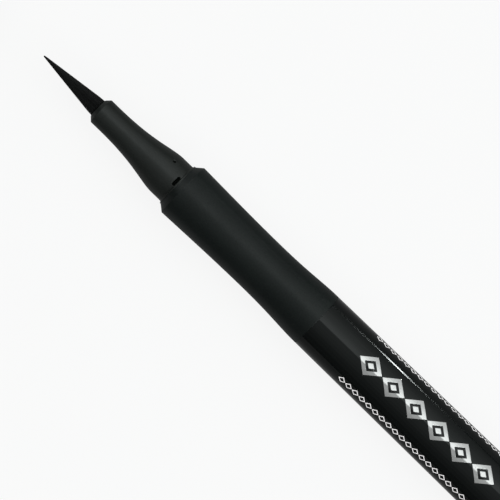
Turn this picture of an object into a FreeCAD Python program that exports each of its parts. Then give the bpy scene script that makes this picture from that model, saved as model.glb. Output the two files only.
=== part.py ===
import FreeCAD, Part
import math
import os

# A direct-liquid eyeliner pen, in millimetres, lying on the plane Z = 0 with its axis along X.
# The brush points to minus X. Stations are measured along the axis from the brush's point.
# The cap is drawn closed on the pen, then parked ahead of the brush, off the pen.

Vector = FreeCAD.Vector

# Fits used by several pieces
fit_clearance = 0.02
seal_wire_radius = 0.35
seal_gap = 0.01
seal_side_gap = 0.05
cut_overrun = 0.5

# Brush and the ferrule that grips its root
brush_exposed_length = 12.0
brush_base_radius = 1.64
brush_point_radius = 0.14
brush_root_length = 5.2
ferrule_setback = 0.8
ferrule_wall = 0.28
ferrule_flange_rim = 0.3
ferrule_flange_thickness = 0.8
retainer_length = 2.5

# Nib holder
holder_nose_radius = 2.4
holder_nose_length = 2.65
holder_front_land = 0.05
holder_flare_length = 12.7
flare_leave_share = 0.6
flare_arrive_share = 0.2
holder_collar_radius = 3.72
holder_collar_length = 1.85
holder_base_fillet = 0.3
holder_flange_thickness = 0.2
holder_spigot_length = 6.5
holder_spigot_wall = 0.6
holder_rear_bore_depth = 6.0
vent_hole_radius = 0.28
vent_hole_setback = 2.95
vent_hole_angle = 40.0
vent_slot_width = 1.8
vent_slot_height = 0.6
vent_slot_setback = 0.6
vent_slot_angle = 4.5

# Grip section
grip_bevel_rise = 0.87
grip_bevel_length = 1.05
grip_waist_radius = 4.56
grip_front_length = 17.3
grip_rear_length = 12.4
front_leave_share = 0.2
front_drop_share = 0.2
front_arrive_share = 0.4
rear_leave_share = 0.55
rear_arrive_share = 0.3
grip_spigot_length = 8.0
grip_spigot_wall = 0.8
grip_stop_rim = 0.7
grip_seal_setback = 3.0

# Barrel and tail plug
barrel_front_radius = 5.0
barrel_rear_radius = 5.25
barrel_wall = 0.9
barrel_taper_length = 40.0
barrel_straight_length = 27.0
tail_flange_thickness = 2.5
tail_edge_round = 0.6
tail_spigot_length = 8.0
tail_spigot_wall = 1.3
tail_recess_depth = 6.5
tail_lead_in = 0.4
tail_seal_setback = 3.0

# Feed wick and collector
wick_radius = 0.85
wick_clearance = 0.05
wick_overhang = 1.2
collector_nose_setback = 0.8
collector_air_gap = 0.35
collector_fin_clearance = 0.1
collector_root_radius = 1.6
collector_fin_count = 20
collector_fin_pitch = 1.0
collector_fin_thickness = 0.5
collector_flange_thickness = 2.4
collector_inlet_length = 3.4
collector_slit_width = 0.3
collector_notch_width = 1.0

# Mixing balls
ball_count = 2
ball_radius = 2.0
ball_wall_gap = 0.1
ball_end_gap = 0.3
ball_spacing = 0.2

# Cap, inner cap and spring
cap_running_clearance = 0.08
cap_seat_gap = 0.1
cap_mouth_round = 0.2
cap_crown_thickness = 1.6
cap_crown_round = 0.7
crown_sleeve_length = 2.3
crown_sleeve_wall = 0.7
cap_lip_height = 0.42
cap_lip_thickness = 0.7
cap_lip_gap = 0.05
inner_cap_seat_share = 0.42
inner_cap_seat_gap = 0.3
inner_cap_wall = 0.55
inner_cap_rim = 0.2
inner_cap_running_clearance = 0.08
inner_cap_rim_thickness = 1.2
inner_cap_end_wall = 0.9
inner_cap_tip_room = 1.8
inner_cap_boss_radius = 1.5
inner_cap_boss_length = 1.0
gasket_width = 0.4
gasket_thickness = 0.8
spring_length = 4.2
spring_coil_radius = 2.2
spring_wire_radius = 0.2
spring_turns = 4
spring_end_gap = 0.05
spring_arcs_per_turn = 4
cap_parked_gap = 12.5

# Radii that follow from the sizes above
brush_root_radius = brush_base_radius - ferrule_wall
ferrule_outer_radius = brush_root_radius + fit_clearance + ferrule_wall
ferrule_flange_radius = ferrule_outer_radius + ferrule_flange_rim
holder_bore_radius = ferrule_outer_radius + fit_clearance
holder_pocket_radius = ferrule_flange_radius + fit_clearance
holder_flange_radius = holder_collar_radius + holder_base_fillet
grip_rim_radius = holder_flange_radius + grip_bevel_rise
barrel_bore_radius = barrel_front_radius - barrel_wall
grip_spigot_radius = barrel_bore_radius - fit_clearance
grip_bore_radius = grip_spigot_radius - grip_spigot_wall
grip_stop_radius = grip_bore_radius - grip_stop_rim
holder_spigot_radius = grip_bore_radius - fit_clearance
holder_rear_bore_radius = holder_spigot_radius - holder_spigot_wall
collector_nose_radius = holder_rear_bore_radius - fit_clearance
collector_fin_radius = grip_bore_radius - collector_fin_clearance
wick_hole_radius = wick_radius + wick_clearance
tail_spigot_radius = barrel_bore_radius - fit_clearance
cap_bore_radius = holder_collar_radius + cap_running_clearance
seat_radius = holder_nose_radius + inner_cap_seat_share * (holder_collar_radius - holder_nose_radius)
inner_cap_outer_radius = seat_radius + inner_cap_wall
inner_cap_rim_radius = inner_cap_outer_radius + inner_cap_rim
cap_chamber_radius = inner_cap_rim_radius + inner_cap_running_clearance
cap_lip_radius = cap_chamber_radius - cap_lip_height
gasket_radius = seat_radius + gasket_width

# Stations along the axis, from the brush's point towards the tail
brush_root_end = brush_exposed_length + brush_root_length
ferrule_front = brush_exposed_length + ferrule_setback
flange_step = brush_root_end - ferrule_flange_thickness
retainer_end = brush_root_end + retainer_length
holder_front = brush_exposed_length
flare_start = holder_front + holder_nose_length
flare_end = flare_start + holder_flare_length
collar_end = flare_end + holder_collar_length
holder_flange_front = collar_end + holder_base_fillet
grip_front = holder_flange_front + holder_flange_thickness
holder_rear_bore_start = grip_front - holder_rear_bore_depth
holder_spigot_end = grip_front + holder_spigot_length
grip_rim = grip_front + grip_bevel_length
grip_waist = grip_rim + grip_front_length
barrel_front = grip_waist + grip_rear_length
grip_spigot_end = barrel_front + grip_spigot_length
fins_end = holder_spigot_end + collector_fin_count * collector_fin_pitch
collector_end = fins_end + collector_flange_thickness
inlet_end = collector_end + collector_inlet_length
barrel_taper_end = barrel_front + barrel_taper_length
barrel_end = barrel_taper_end + barrel_straight_length
tail_spigot_front = barrel_end - tail_spigot_length
tail_end = barrel_end + tail_flange_thickness


def flare_station(radius):
    """Station where the nib holder's flare reaches a radius."""
    rise = (radius - holder_nose_radius) / (holder_collar_radius - holder_nose_radius)
    step = (1 - 2 * math.sin(math.asin(1 - 2 * rise) / 3)) / 2
    leave = 3 * step * (1 - step) ** 2 * flare_leave_share
    arrive = 3 * step ** 2 * (1 - step) * (1 - flare_arrive_share)
    return flare_start + holder_flare_length * (leave + arrive + step ** 3)


# Stations of the closed cap
cap_mouth = grip_front - cap_seat_gap
cap_lead_in = holder_flange_radius - cap_bore_radius + holder_flange_thickness
inner_cap_rim_end = flare_station(seat_radius) - inner_cap_seat_gap
cap_lip_front = inner_cap_rim_end + cap_lip_gap
cap_lip_end = cap_lip_front + cap_lip_thickness
inner_cap_end_inside = -inner_cap_tip_room
inner_cap_end = inner_cap_end_inside - inner_cap_end_wall
crown_seat = inner_cap_end - spring_length
crown_top = crown_seat - cap_crown_thickness
cap_travel = cap_mouth + cap_parked_gap

# Place of the pen in its frame: centred along X, resting on Z = 0
axis_height = barrel_rear_radius
middle_station = (tail_end + crown_top - cap_travel) / 2


def spot(point):
    """Point of a half outline, from its station along the axis and its radius."""
    station, radius = point
    return Vector(station, 0, radius)


def run(*points):
    """Straight edges through the points of a half outline."""
    return [Part.makeLine(spot(a), spot(b)) for a, b in zip(points, points[1:])]


def bend(*poles):
    """Smooth curve from the first pole to the last, drawn towards the poles between."""
    curve = Part.BezierCurve()
    curve.setPoles([spot(pole) for pole in poles])
    return [curve.toShape()]


def ease(start, end, leave_share, arrive_share):
    """Smooth curve that runs along the axis at both of its ends."""
    length = end[0] - start[0]
    leave = (start[0] + leave_share * length, start[1])
    arrive = (end[0] - arrive_share * length, end[1])
    return bend(start, leave, arrive, end)


def quarter(start, corner, end):
    """Quarter circle between two points that lie equally far from a square corner."""
    centre = spot(start) + spot(end) - spot(corner)
    radius = (spot(start) - centre).Length
    middle = centre + (spot(corner) - centre).normalize() * radius
    return [Part.Arc(spot(start), middle, spot(end)).toShape()]


def turned(*stretches):
    """Solid of revolution about the axis from a half outline, which is closed by a straight edge."""
    edges = [edge for stretch in stretches for edge in stretch]
    first = edges[0].valueAt(edges[0].FirstParameter)
    last = edges[-1].valueAt(edges[-1].LastParameter)
    edges.append(Part.makeLine(last, first))
    return Part.Face(Part.Wire(edges)).revolve(Vector(), Vector(1, 0, 0), 360)


def tube(start, end, inner_radius, outer_radius):
    """Plain tube between two stations."""
    return turned(run((start, inner_radius), (start, outer_radius), (end, outer_radius), (end, inner_radius)))


def seal_ring(station, bore_radius):
    """Round-section ring that seals against a bore."""
    centre_radius = bore_radius - seal_gap - seal_wire_radius
    return Part.makeTorus(centre_radius, seal_wire_radius, Vector(station, 0, 0), Vector(1, 0, 0))


def seal_groove(station, land_radius, bore_radius):
    """Outline points of the groove that holds a seal ring, from front to rear."""
    bottom_radius = bore_radius - 2 * seal_gap - 2 * seal_wire_radius
    half_width = seal_wire_radius + seal_side_gap
    front = station - half_width
    rear = station + half_width
    return [(front, land_radius), (front, bottom_radius), (rear, bottom_radius), (rear, land_radius)]


def brush_tuft():
    """Tapered brush with a rounded point and a narrower root."""
    rise = brush_base_radius - brush_point_radius
    slope = math.atan2(rise, brush_exposed_length - brush_point_radius)
    middle_angle = (math.pi / 2 - slope) / 2
    point_middle = (
        brush_point_radius * (1 - math.cos(middle_angle)),
        brush_point_radius * math.sin(middle_angle),
    )
    cone_start = (brush_point_radius * (1 - math.sin(slope)), brush_point_radius * math.cos(slope))
    point = Part.Arc(Vector(), spot(point_middle), spot(cone_start)).toShape()
    body = run(
        cone_start,
        (brush_exposed_length, brush_base_radius),
        (ferrule_front, brush_base_radius),
        (ferrule_front, brush_root_radius),
        (brush_root_end, brush_root_radius),
        (brush_root_end, 0),
    )
    return turned([point], body)


def tuft_ferrule():
    """Flanged tube round the brush's root."""
    inner_radius = brush_root_radius + fit_clearance
    return turned(run(
        (ferrule_front, inner_radius),
        (ferrule_front, ferrule_outer_radius),
        (flange_step, ferrule_outer_radius),
        (flange_step, ferrule_flange_radius),
        (brush_root_end, ferrule_flange_radius),
        (brush_root_end, inner_radius),
    ))


def nib_retainer():
    """Ring behind the ferrule, bored for the wick."""
    return tube(brush_root_end, retainer_end, wick_hole_radius, holder_pocket_radius - fit_clearance)


def feed_wick():
    """Fibre rod from the brush's root to the tank."""
    length = inlet_end + wick_overhang - brush_root_end
    return Part.makeCylinder(wick_radius, length, Vector(brush_root_end, 0, 0), Vector(1, 0, 0))


def vent_hole():
    """Cutter for the round vent, along a radius of the holder."""
    inside = holder_rear_bore_radius - cut_overrun
    depth = holder_flange_radius + cut_overrun - inside
    start = Vector(grip_front - vent_hole_setback, 0, inside)
    cutter = Part.makeCylinder(vent_hole_radius, depth, start, Vector(0, 0, 1))
    cutter.rotate(Vector(), Vector(1, 0, 0), -vent_hole_angle)
    return cutter


def vent_slot():
    """Cutter for the round-ended vent slot that runs round the holder's collar."""
    inside = holder_rear_bore_radius - cut_overrun
    depth = holder_flange_radius + cut_overrun - inside
    end_radius = vent_slot_height / 2
    half_run = vent_slot_width / 2 - end_radius
    station = grip_front - vent_slot_setback
    cutter = Part.makeBox(
        vent_slot_height, 2 * half_run, depth, Vector(station - end_radius, -half_run, inside)
    )
    for side in (-half_run, half_run):
        end = Part.makeCylinder(end_radius, depth, Vector(station, side, inside), Vector(0, 0, 1))
        cutter = cutter.fuse(end)
    cutter.rotate(Vector(), Vector(1, 0, 0), -vent_slot_angle)
    return cutter


def nib_holder():
    """Front piece: bevelled mouth, nose, flare, collar, base flange and rear spigot."""
    bevel_start = holder_bore_radius + holder_front_land
    bevel = holder_nose_radius - bevel_start
    front = run(
        (holder_front, holder_bore_radius),
        (holder_front, bevel_start),
        (holder_front + bevel, holder_nose_radius),
        (flare_start, holder_nose_radius),
    )
    flare = ease(
        (flare_start, holder_nose_radius),
        (flare_end, holder_collar_radius),
        flare_leave_share,
        flare_arrive_share,
    )
    collar = run((flare_end, holder_collar_radius), (collar_end, holder_collar_radius))
    fillet = quarter(
        (collar_end, holder_collar_radius),
        (holder_flange_front, holder_collar_radius),
        (holder_flange_front, holder_flange_radius),
    )
    rear = run(
        (holder_flange_front, holder_flange_radius),
        (grip_front, holder_flange_radius),
        (grip_front, holder_spigot_radius),
        (holder_spigot_end, holder_spigot_radius),
        (holder_spigot_end, holder_rear_bore_radius),
        (holder_rear_bore_start, holder_rear_bore_radius),
        (holder_rear_bore_start, holder_pocket_radius),
        (flange_step, holder_pocket_radius),
        (flange_step, holder_bore_radius),
    )
    return turned(front, flare, collar, fillet, rear).cut([vent_hole(), vent_slot()])


def collector():
    """Finned buffer round the wick: nose, fins, rear flange with a seal groove, and inlet."""
    nose_front = holder_rear_bore_start + collector_nose_setback
    slim_radius = collector_nose_radius - collector_air_gap
    seal_station = fins_end + collector_flange_thickness / 2
    points = [
        (nose_front, wick_hole_radius),
        (nose_front, slim_radius),
        (grip_front, slim_radius),
        (grip_front, collector_nose_radius),
        (holder_spigot_end, collector_nose_radius),
    ]
    for fin in range(collector_fin_count):
        front = holder_spigot_end + fin * collector_fin_pitch
        rear = front + collector_fin_thickness
        points += [(front, collector_fin_radius), (rear, collector_fin_radius)]
        points += [(rear, collector_root_radius), (front + collector_fin_pitch, collector_root_radius)]
    points += [(fins_end, collector_fin_radius)]
    points += seal_groove(seal_station, collector_fin_radius, grip_bore_radius)
    points += [
        (collector_end, collector_fin_radius),
        (collector_end, collector_root_radius),
        (inlet_end, collector_root_radius),
        (inlet_end, wick_hole_radius),
    ]
    fin_run = fins_end - holder_spigot_end
    depth = collector_fin_radius - collector_root_radius + cut_overrun
    slit = Part.makeBox(
        fin_run,
        collector_slit_width,
        depth,
        Vector(holder_spigot_end, -collector_slit_width / 2, -collector_root_radius - depth),
    )
    notch = Part.makeBox(
        fin_run,
        collector_notch_width,
        depth,
        Vector(holder_spigot_end, -collector_notch_width / 2, collector_root_radius),
    )
    return turned(run(*points)).cut([slit, notch])


def collector_seal():
    """Seal ring on the collector's rear flange."""
    return seal_ring(fins_end + collector_flange_thickness / 2, grip_bore_radius)


def grip_section():
    """Waisted front section with a bevelled rim, a stop for the collector and the barrel's spigot."""
    drop = grip_rim_radius - grip_waist_radius
    front = run(
        (grip_front, grip_bore_radius),
        (grip_front, holder_flange_radius),
        (grip_rim, grip_rim_radius),
    )
    waist = bend(
        (grip_rim, grip_rim_radius),
        (grip_rim + front_leave_share * grip_front_length, grip_rim_radius - front_drop_share * drop),
        (grip_waist - front_arrive_share * grip_front_length, grip_waist_radius),
        (grip_waist, grip_waist_radius),
    )
    swell = ease(
        (grip_waist, grip_waist_radius),
        (barrel_front, barrel_front_radius),
        rear_leave_share,
        rear_arrive_share,
    )
    seal_station = grip_spigot_end - grip_seal_setback
    rear = run(
        (barrel_front, barrel_front_radius),
        (barrel_front, grip_spigot_radius),
        *seal_groove(seal_station, grip_spigot_radius, barrel_bore_radius),
        (grip_spigot_end, grip_spigot_radius),
        (grip_spigot_end, grip_stop_radius),
        (collector_end, grip_stop_radius),
        (collector_end, grip_bore_radius),
    )
    return turned(front, waist, swell, rear)


def barrel_seal():
    """Seal ring on the grip's spigot."""
    return seal_ring(grip_spigot_end - grip_seal_setback, barrel_bore_radius)


def barrel():
    """Gloss tube that holds the ink, tapered at first and straight at the rear."""
    return turned(run(
        (barrel_front, barrel_bore_radius),
        (barrel_front, barrel_front_radius),
        (barrel_taper_end, barrel_rear_radius),
        (barrel_end, barrel_rear_radius),
        (barrel_end, barrel_bore_radius),
    ))


def tail_plug():
    """Stopper with a hollow spigot and a flat end, level with the barrel."""
    recess_radius = tail_spigot_radius - tail_spigot_wall
    recess_end = tail_spigot_front + tail_recess_depth
    seal_station = tail_spigot_front + tail_seal_setback
    front = run(
        (recess_end, 0),
        (recess_end, recess_radius),
        (tail_spigot_front, recess_radius),
        (tail_spigot_front, tail_spigot_radius - tail_lead_in),
        (tail_spigot_front + tail_lead_in, tail_spigot_radius),
        *seal_groove(seal_station, tail_spigot_radius, barrel_bore_radius),
        (barrel_end, tail_spigot_radius),
        (barrel_end, barrel_rear_radius),
        (tail_end - tail_edge_round, barrel_rear_radius),
    )
    edge = quarter(
        (tail_end - tail_edge_round, barrel_rear_radius),
        (tail_end, barrel_rear_radius),
        (tail_end, barrel_rear_radius - tail_edge_round),
    )
    end = run((tail_end, barrel_rear_radius - tail_edge_round), (tail_end, 0))
    return turned(front, edge, end)


def tail_seal():
    """Seal ring on the tail plug's spigot."""
    return seal_ring(tail_spigot_front + tail_seal_setback, barrel_bore_radius)


def mixing_balls():
    """Steel balls lying in a row on the tank's lower wall, at its front end."""
    drop = barrel_bore_radius - ball_radius - ball_wall_gap
    first = grip_spigot_end + ball_end_gap + ball_radius
    step = 2 * ball_radius + ball_spacing
    balls = [Part.makeSphere(ball_radius, Vector(first + i * step, 0, -drop)) for i in range(ball_count)]
    return Part.makeCompound(balls)


def cap_shell():
    """Cap tube with a bevelled mouth bore and a lip that stops the inner cap."""
    mouth = quarter(
        (cap_mouth, grip_rim_radius - cap_mouth_round),
        (cap_mouth, grip_rim_radius),
        (cap_mouth - cap_mouth_round, grip_rim_radius),
    )
    rest = run(
        (cap_mouth - cap_mouth_round, grip_rim_radius),
        (crown_seat, grip_rim_radius),
        (crown_seat, cap_chamber_radius),
        (cap_lip_front, cap_chamber_radius),
        (cap_lip_front, cap_lip_radius),
        (cap_lip_end, cap_lip_radius),
        (cap_lip_end, cap_bore_radius),
        (cap_mouth - cap_lead_in, cap_bore_radius),
        (cap_mouth, cap_bore_radius + cap_lead_in),
    )
    return turned(mouth, rest)


def cap_crown():
    """End plug of the cap: a rounded disc with a sleeve pressed into the tube."""
    sleeve_radius = cap_chamber_radius - fit_clearance
    sleeve_end = crown_seat + crown_sleeve_length
    inside = run(
        (crown_seat, 0),
        (crown_seat, sleeve_radius - crown_sleeve_wall),
        (sleeve_end, sleeve_radius - crown_sleeve_wall),
        (sleeve_end, sleeve_radius),
        (crown_seat, sleeve_radius),
        (crown_seat, grip_rim_radius),
        (crown_top + cap_crown_round, grip_rim_radius),
    )
    edge = quarter(
        (crown_top + cap_crown_round, grip_rim_radius),
        (crown_top, grip_rim_radius),
        (crown_top, grip_rim_radius - cap_crown_round),
    )
    end = run((crown_top, grip_rim_radius - cap_crown_round), (crown_top, 0))
    return turned(inside, edge, end)


def inner_cap():
    """Cup over the brush, with a guiding rim, a seat for the gasket and a boss for the spring."""
    gasket_front = inner_cap_rim_end - gasket_thickness
    rim_front = inner_cap_rim_end - inner_cap_rim_thickness
    boss_end = inner_cap_end - inner_cap_boss_length
    return turned(run(
        (inner_cap_end_inside, 0),
        (inner_cap_end_inside, seat_radius),
        (gasket_front, seat_radius),
        (gasket_front, gasket_radius + fit_clearance),
        (inner_cap_rim_end, gasket_radius + fit_clearance),
        (inner_cap_rim_end, inner_cap_rim_radius),
        (rim_front, inner_cap_rim_radius),
        (rim_front, inner_cap_outer_radius),
        (inner_cap_end, inner_cap_outer_radius),
        (inner_cap_end, inner_cap_boss_radius),
        (boss_end, inner_cap_boss_radius),
        (boss_end, 0),
    ))


def inner_cap_gasket():
    """Soft ring in the inner cap's rim, whose rear edge meets the holder's flare."""
    return tube(inner_cap_rim_end - gasket_thickness, inner_cap_rim_end, seat_radius, gasket_radius)


def coil_point(turn, start, pitch):
    """Point and direction of the coil's centre line after a number of turns."""
    angle = 2 * math.pi * turn
    sweep = 2 * math.pi * spring_coil_radius
    point = Vector(
        start + pitch * turn, spring_coil_radius * math.cos(angle), spring_coil_radius * math.sin(angle)
    )
    heading = Vector(pitch, -sweep * math.sin(angle), sweep * math.cos(angle))
    return point, heading.normalize()


def arc_between(start, corner, end):
    """Arc that leaves one point and reaches another along the lines to their common corner."""
    middle = (start + end) / 2
    half_chord = (end - start).Length / 2
    rise = (corner - middle).Length
    sagitta = half_chord * math.tan(math.atan2(rise, half_chord) / 2)
    return Part.Arc(start, middle + (corner - middle).normalize() * sagitta, end).toShape()


def two_arcs(start, heading, end, last_heading):
    """Pair of arcs that join two points and keep both headings."""
    chord = end - start
    total = heading + last_heading
    spread = 2 * (1 - heading.dot(last_heading))
    reach = (math.sqrt(chord.dot(total) ** 2 + spread * chord.dot(chord)) - chord.dot(total)) / spread
    first_corner = start + heading * reach
    last_corner = end - last_heading * reach
    meeting = (first_corner + last_corner) / 2
    return [arc_between(start, first_corner, meeting), arc_between(meeting, last_corner, end)]


def inner_cap_spring():
    """Coil spring between the cap's crown and the inner cap, one unbroken wire."""
    start = crown_seat + spring_end_gap + spring_wire_radius
    end = inner_cap_end - spring_end_gap - spring_wire_radius
    pitch = (end - start) / spring_turns
    places = [
        coil_point(step / spring_arcs_per_turn, start, pitch)
        for step in range(spring_turns * spring_arcs_per_turn + 1)
    ]
    edges = []
    for (point, heading), (next_point, next_heading) in zip(places, places[1:]):
        edges += two_arcs(point, heading, next_point, next_heading)
    section = Part.Circle(places[0][0], places[0][1], spring_wire_radius).toShape()
    sweep = Part.BRepOffsetAPI.MakePipeShell(Part.Wire(edges))
    sweep.add(Part.Wire(section))
    sweep.build()
    sweep.makeSolid()
    later = spring_arcs_per_turn // 2 + 1
    least = min(
        (a - b).Length
        for i, (a, heading) in enumerate(places)
        for b, other in places[i + later:]
    )
    print("least gap between the spring's turns: %.3f mm" % (least - 2 * spring_wire_radius))
    return sweep.shape()


pen_pieces = [
    brush_tuft,
    tuft_ferrule,
    nib_holder,
    nib_retainer,
    feed_wick,
    collector,
    collector_seal,
    grip_section,
    barrel_seal,
    barrel,
    tail_plug,
    tail_seal,
    mixing_balls,
]
cap_pieces = [cap_shell, cap_crown, inner_cap, inner_cap_gasket, inner_cap_spring]

os.makedirs("parts", exist_ok=True)
for piece in pen_pieces + cap_pieces:
    shape = piece()
    if piece in cap_pieces:
        shape.translate(Vector(-cap_travel, 0, 0))
    shape.translate(Vector(-middle_station, 0, axis_height))
    shape.exportStep("parts/%s.step" % piece.__name__)
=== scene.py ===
"""Dressed model of a liquid eyeliner pen: turned shells, a filament brush and procedural finishes."""
import functools
import logging
import math
from dataclasses import dataclass, field
from enum import Enum
from typing import Any, Mapping, Sequence

import bpy
import numpy as np
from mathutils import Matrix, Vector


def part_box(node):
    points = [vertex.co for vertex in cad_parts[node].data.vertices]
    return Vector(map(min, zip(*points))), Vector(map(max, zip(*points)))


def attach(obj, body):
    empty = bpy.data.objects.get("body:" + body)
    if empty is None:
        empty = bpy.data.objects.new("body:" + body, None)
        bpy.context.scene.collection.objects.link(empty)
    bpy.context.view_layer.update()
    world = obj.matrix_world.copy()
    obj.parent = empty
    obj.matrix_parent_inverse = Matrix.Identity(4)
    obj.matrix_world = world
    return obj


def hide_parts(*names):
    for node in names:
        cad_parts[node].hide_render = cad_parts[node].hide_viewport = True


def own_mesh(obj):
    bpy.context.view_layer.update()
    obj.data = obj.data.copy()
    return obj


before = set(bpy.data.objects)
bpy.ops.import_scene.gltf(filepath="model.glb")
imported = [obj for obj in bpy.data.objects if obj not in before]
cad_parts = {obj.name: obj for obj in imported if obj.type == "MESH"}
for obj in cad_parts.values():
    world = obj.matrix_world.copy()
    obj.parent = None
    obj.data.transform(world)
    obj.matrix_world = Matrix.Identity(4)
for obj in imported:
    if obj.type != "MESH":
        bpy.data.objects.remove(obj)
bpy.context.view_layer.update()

MM = 0.001
Array = np.ndarray
Pair = tuple[float, float]
Triple = tuple[float, float, float]
Colour = Triple
log = logging.getLogger("eyeliner_pen")


class Body(Enum):
    """Bodies that new pieces ride on."""

    PEN = "pen"
    CAP = "cap"
    INNER_CAP = "inner_cap"


class Slot(Enum):
    """Material slots of the record."""

    BRUSH = "brush_fibre"
    HOLDER = "holder_plastic"
    GRIP = "grip_plastic"
    BARREL = "barrel_gloss"
    CAP = "cap_gloss"
    INNER = "inner_plastic"
    INNER_CAP = "inner_cap_plastic"
    WICK = "wick_fibre"
    SEAL = "seal_rubber"
    BALL = "ball_steel"
    SPRING = "spring_steel"


# Shapes

NO_TRIANGLES = np.zeros((0, 3), dtype=int)
AXIS = np.array([1.0, 0.0, 0.0])
ON_AXIS = 1e-9
CURVE_SAMPLES = 241
GATE_POINTS = 13

# Edge rounds of an outline: usual radius, points on an arc, share of the shorter side that an arc may take,
# and how many setbacks away from the corner its support points stand
EDGE = 0.03
ARC_POINTS = 7
ARC_ROOM = 0.2
SUPPORT_REACH = 2.2


@dataclass(frozen=True)
class Lie:
    """Place of a turned piece in the row frame, in millimetres.

    Attributes:
        zero: The x of station zero.
        height: Height of the axis over the floor.
    """

    zero: float
    height: float

    def place(self, station: Array, radius: Array, angle: Array) -> Array:
        """Points in the row frame: x is the station, and y and z are the radius turned from up towards +Y.

        Args:
            station: Distances along the axis.
            radius: Distances from the axis.
            angle: Turns about the axis in radians, nought at the top.

        Returns:
            Array of points with a last dimension of three.
        """
        station, radius, angle = np.broadcast_arrays(station, radius, angle)
        side = radius * np.sin(angle)
        rise = self.height + radius * np.cos(angle)
        return np.stack([self.zero + station, side, rise], axis=-1)


@dataclass
class Surface:
    """Mesh in the making, in millimetres.

    Attributes:
        points: Corner points, one row each.
        quads: Rows of four point numbers.
        triangles: Rows of three point numbers.
    """

    points: Array
    quads: Array
    triangles: Array

    @classmethod
    def joined(cls, parts: Sequence["Surface"]) -> "Surface":
        """One surface from several, with each part's numbers moved past those before it.

        Args:
            parts: Surfaces to put together.

        Returns:
            The joined surface.
        """
        counts = np.cumsum([0] + [len(part.points) for part in parts])
        return cls(
            np.concatenate([part.points for part in parts]),
            np.concatenate([part.quads + n for part, n in zip(parts, counts)]),
            np.concatenate([part.triangles + n for part, n in zip(parts, counts)]),
        )

    def to_object(self, name: str) -> bpy.types.Object:
        """Smooth mesh object at the origin, in metres.

        Args:
            name: Name of the object and its mesh.

        Returns:
            The new object, linked into the scene.
        """
        mesh = bpy.data.meshes.new(name)
        corners = np.concatenate([self.quads.ravel(), self.triangles.ravel()]).astype(np.int32)
        totals = np.concatenate([np.full(len(self.quads), 4), np.full(len(self.triangles), 3)])
        starts = np.concatenate([[0], np.cumsum(totals)[:-1]])
        mesh.vertices.add(len(self.points))
        mesh.vertices.foreach_set("co", (self.points * MM).astype(np.float32).ravel())
        mesh.loops.add(len(corners))
        mesh.loops.foreach_set("vertex_index", corners)
        mesh.polygons.add(len(totals))
        mesh.polygons.foreach_set("loop_start", starts.astype(np.int32))
        mesh.polygons.foreach_set("loop_total", totals.astype(np.int32))
        mesh.polygons.foreach_set("use_smooth", np.ones(len(totals), dtype=bool))
        mesh.update(calc_edges=True)
        mesh.validate()
        made = bpy.data.objects.new(name, mesh)
        bpy.context.collection.objects.link(made)
        return made


def grid_quads(rows: int, columns: int, wrap_rows: bool, wrap_columns: bool) -> Array:
    """Quads of a grid whose point number is row times columns plus column.

    Args:
        rows: Points along the first parameter.
        columns: Points along the second parameter.
        wrap_rows: Whether the last row joins the first.
        wrap_columns: Whether the last column joins the first.

    Returns:
        Rows of four point numbers, turned so that the first parameter crossed with the second points out.
    """
    row = np.arange(rows if wrap_rows else rows - 1)[:, None]
    column = np.arange(columns if wrap_columns else columns - 1)[None, :]
    next_row, next_column = (row + 1) % rows, (column + 1) % columns
    corners = [
        row * columns + column,
        next_row * columns + column,
        next_row * columns + next_column,
        row * columns + next_column,
    ]
    return np.stack(np.broadcast_arrays(*corners), axis=-1).reshape(-1, 4)


def end_fans(rows: int, columns: int) -> Array:
    """Triangles that close both ends of a grid, on two pole points numbered after it.

    Args:
        rows: Rows of the grid.
        columns: Points round each row.

    Returns:
        Rows of three point numbers: the first row's fan, then the last row's.
    """
    here = np.arange(columns)
    after = (here + 1) % columns
    pole, last = np.full(columns, rows * columns), (rows - 1) * columns
    front = np.stack([pole, here, after], axis=-1)
    rear = np.stack([pole + 1, last + after, last + here], axis=-1)
    return np.concatenate([front, rear])


def patches(points: Array, wrap_rows: bool = False) -> Surface:
    """Open grids of one size as one surface.

    Args:
        points: Points, as grids by rows by columns by three.
        wrap_rows: Whether each grid's last row joins its first.

    Returns:
        The surface.
    """
    count, rows, columns, _ = points.shape
    offset = (np.arange(count) * rows * columns)[:, None, None]
    quads = grid_quads(rows, columns, wrap_rows, False) + offset
    return Surface(points.reshape(-1, 3), quads.reshape(-1, 4), NO_TRIANGLES)


def bezier(start: Pair, leave: Pair, arrive: Pair, end: Pair) -> Array:
    """Cubic curve: the four poles weighted by the Bernstein shares of a parameter from nought to one.

    Args:
        start: Station and radius of the first point.
        leave: Pole that the curve leaves towards.
        arrive: Pole that the curve arrives from.
        end: Station and radius of the last point.

    Returns:
        Rows of station and radius along the curve.
    """
    t = np.linspace(0.0, 1.0, CURVE_SAMPLES)[:, None]
    shares = [(1 - t) ** 3, 3 * t * (1 - t) ** 2, 3 * t**2 * (1 - t), t**3]
    poles = np.array([start, leave, arrive, end])
    return sum(share * pole for share, pole in zip(shares, poles))


def at_stations(curve: Array, stations: Array) -> Array:
    """Points of a curve at chosen stations, read straight between its samples.

    Args:
        curve: Rows of station and radius with rising stations.
        stations: Stations to read at.

    Returns:
        Rows of station and radius.
    """
    return np.stack([stations, np.interp(stations, curve[:, 0], curve[:, 1])], axis=-1)


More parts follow.
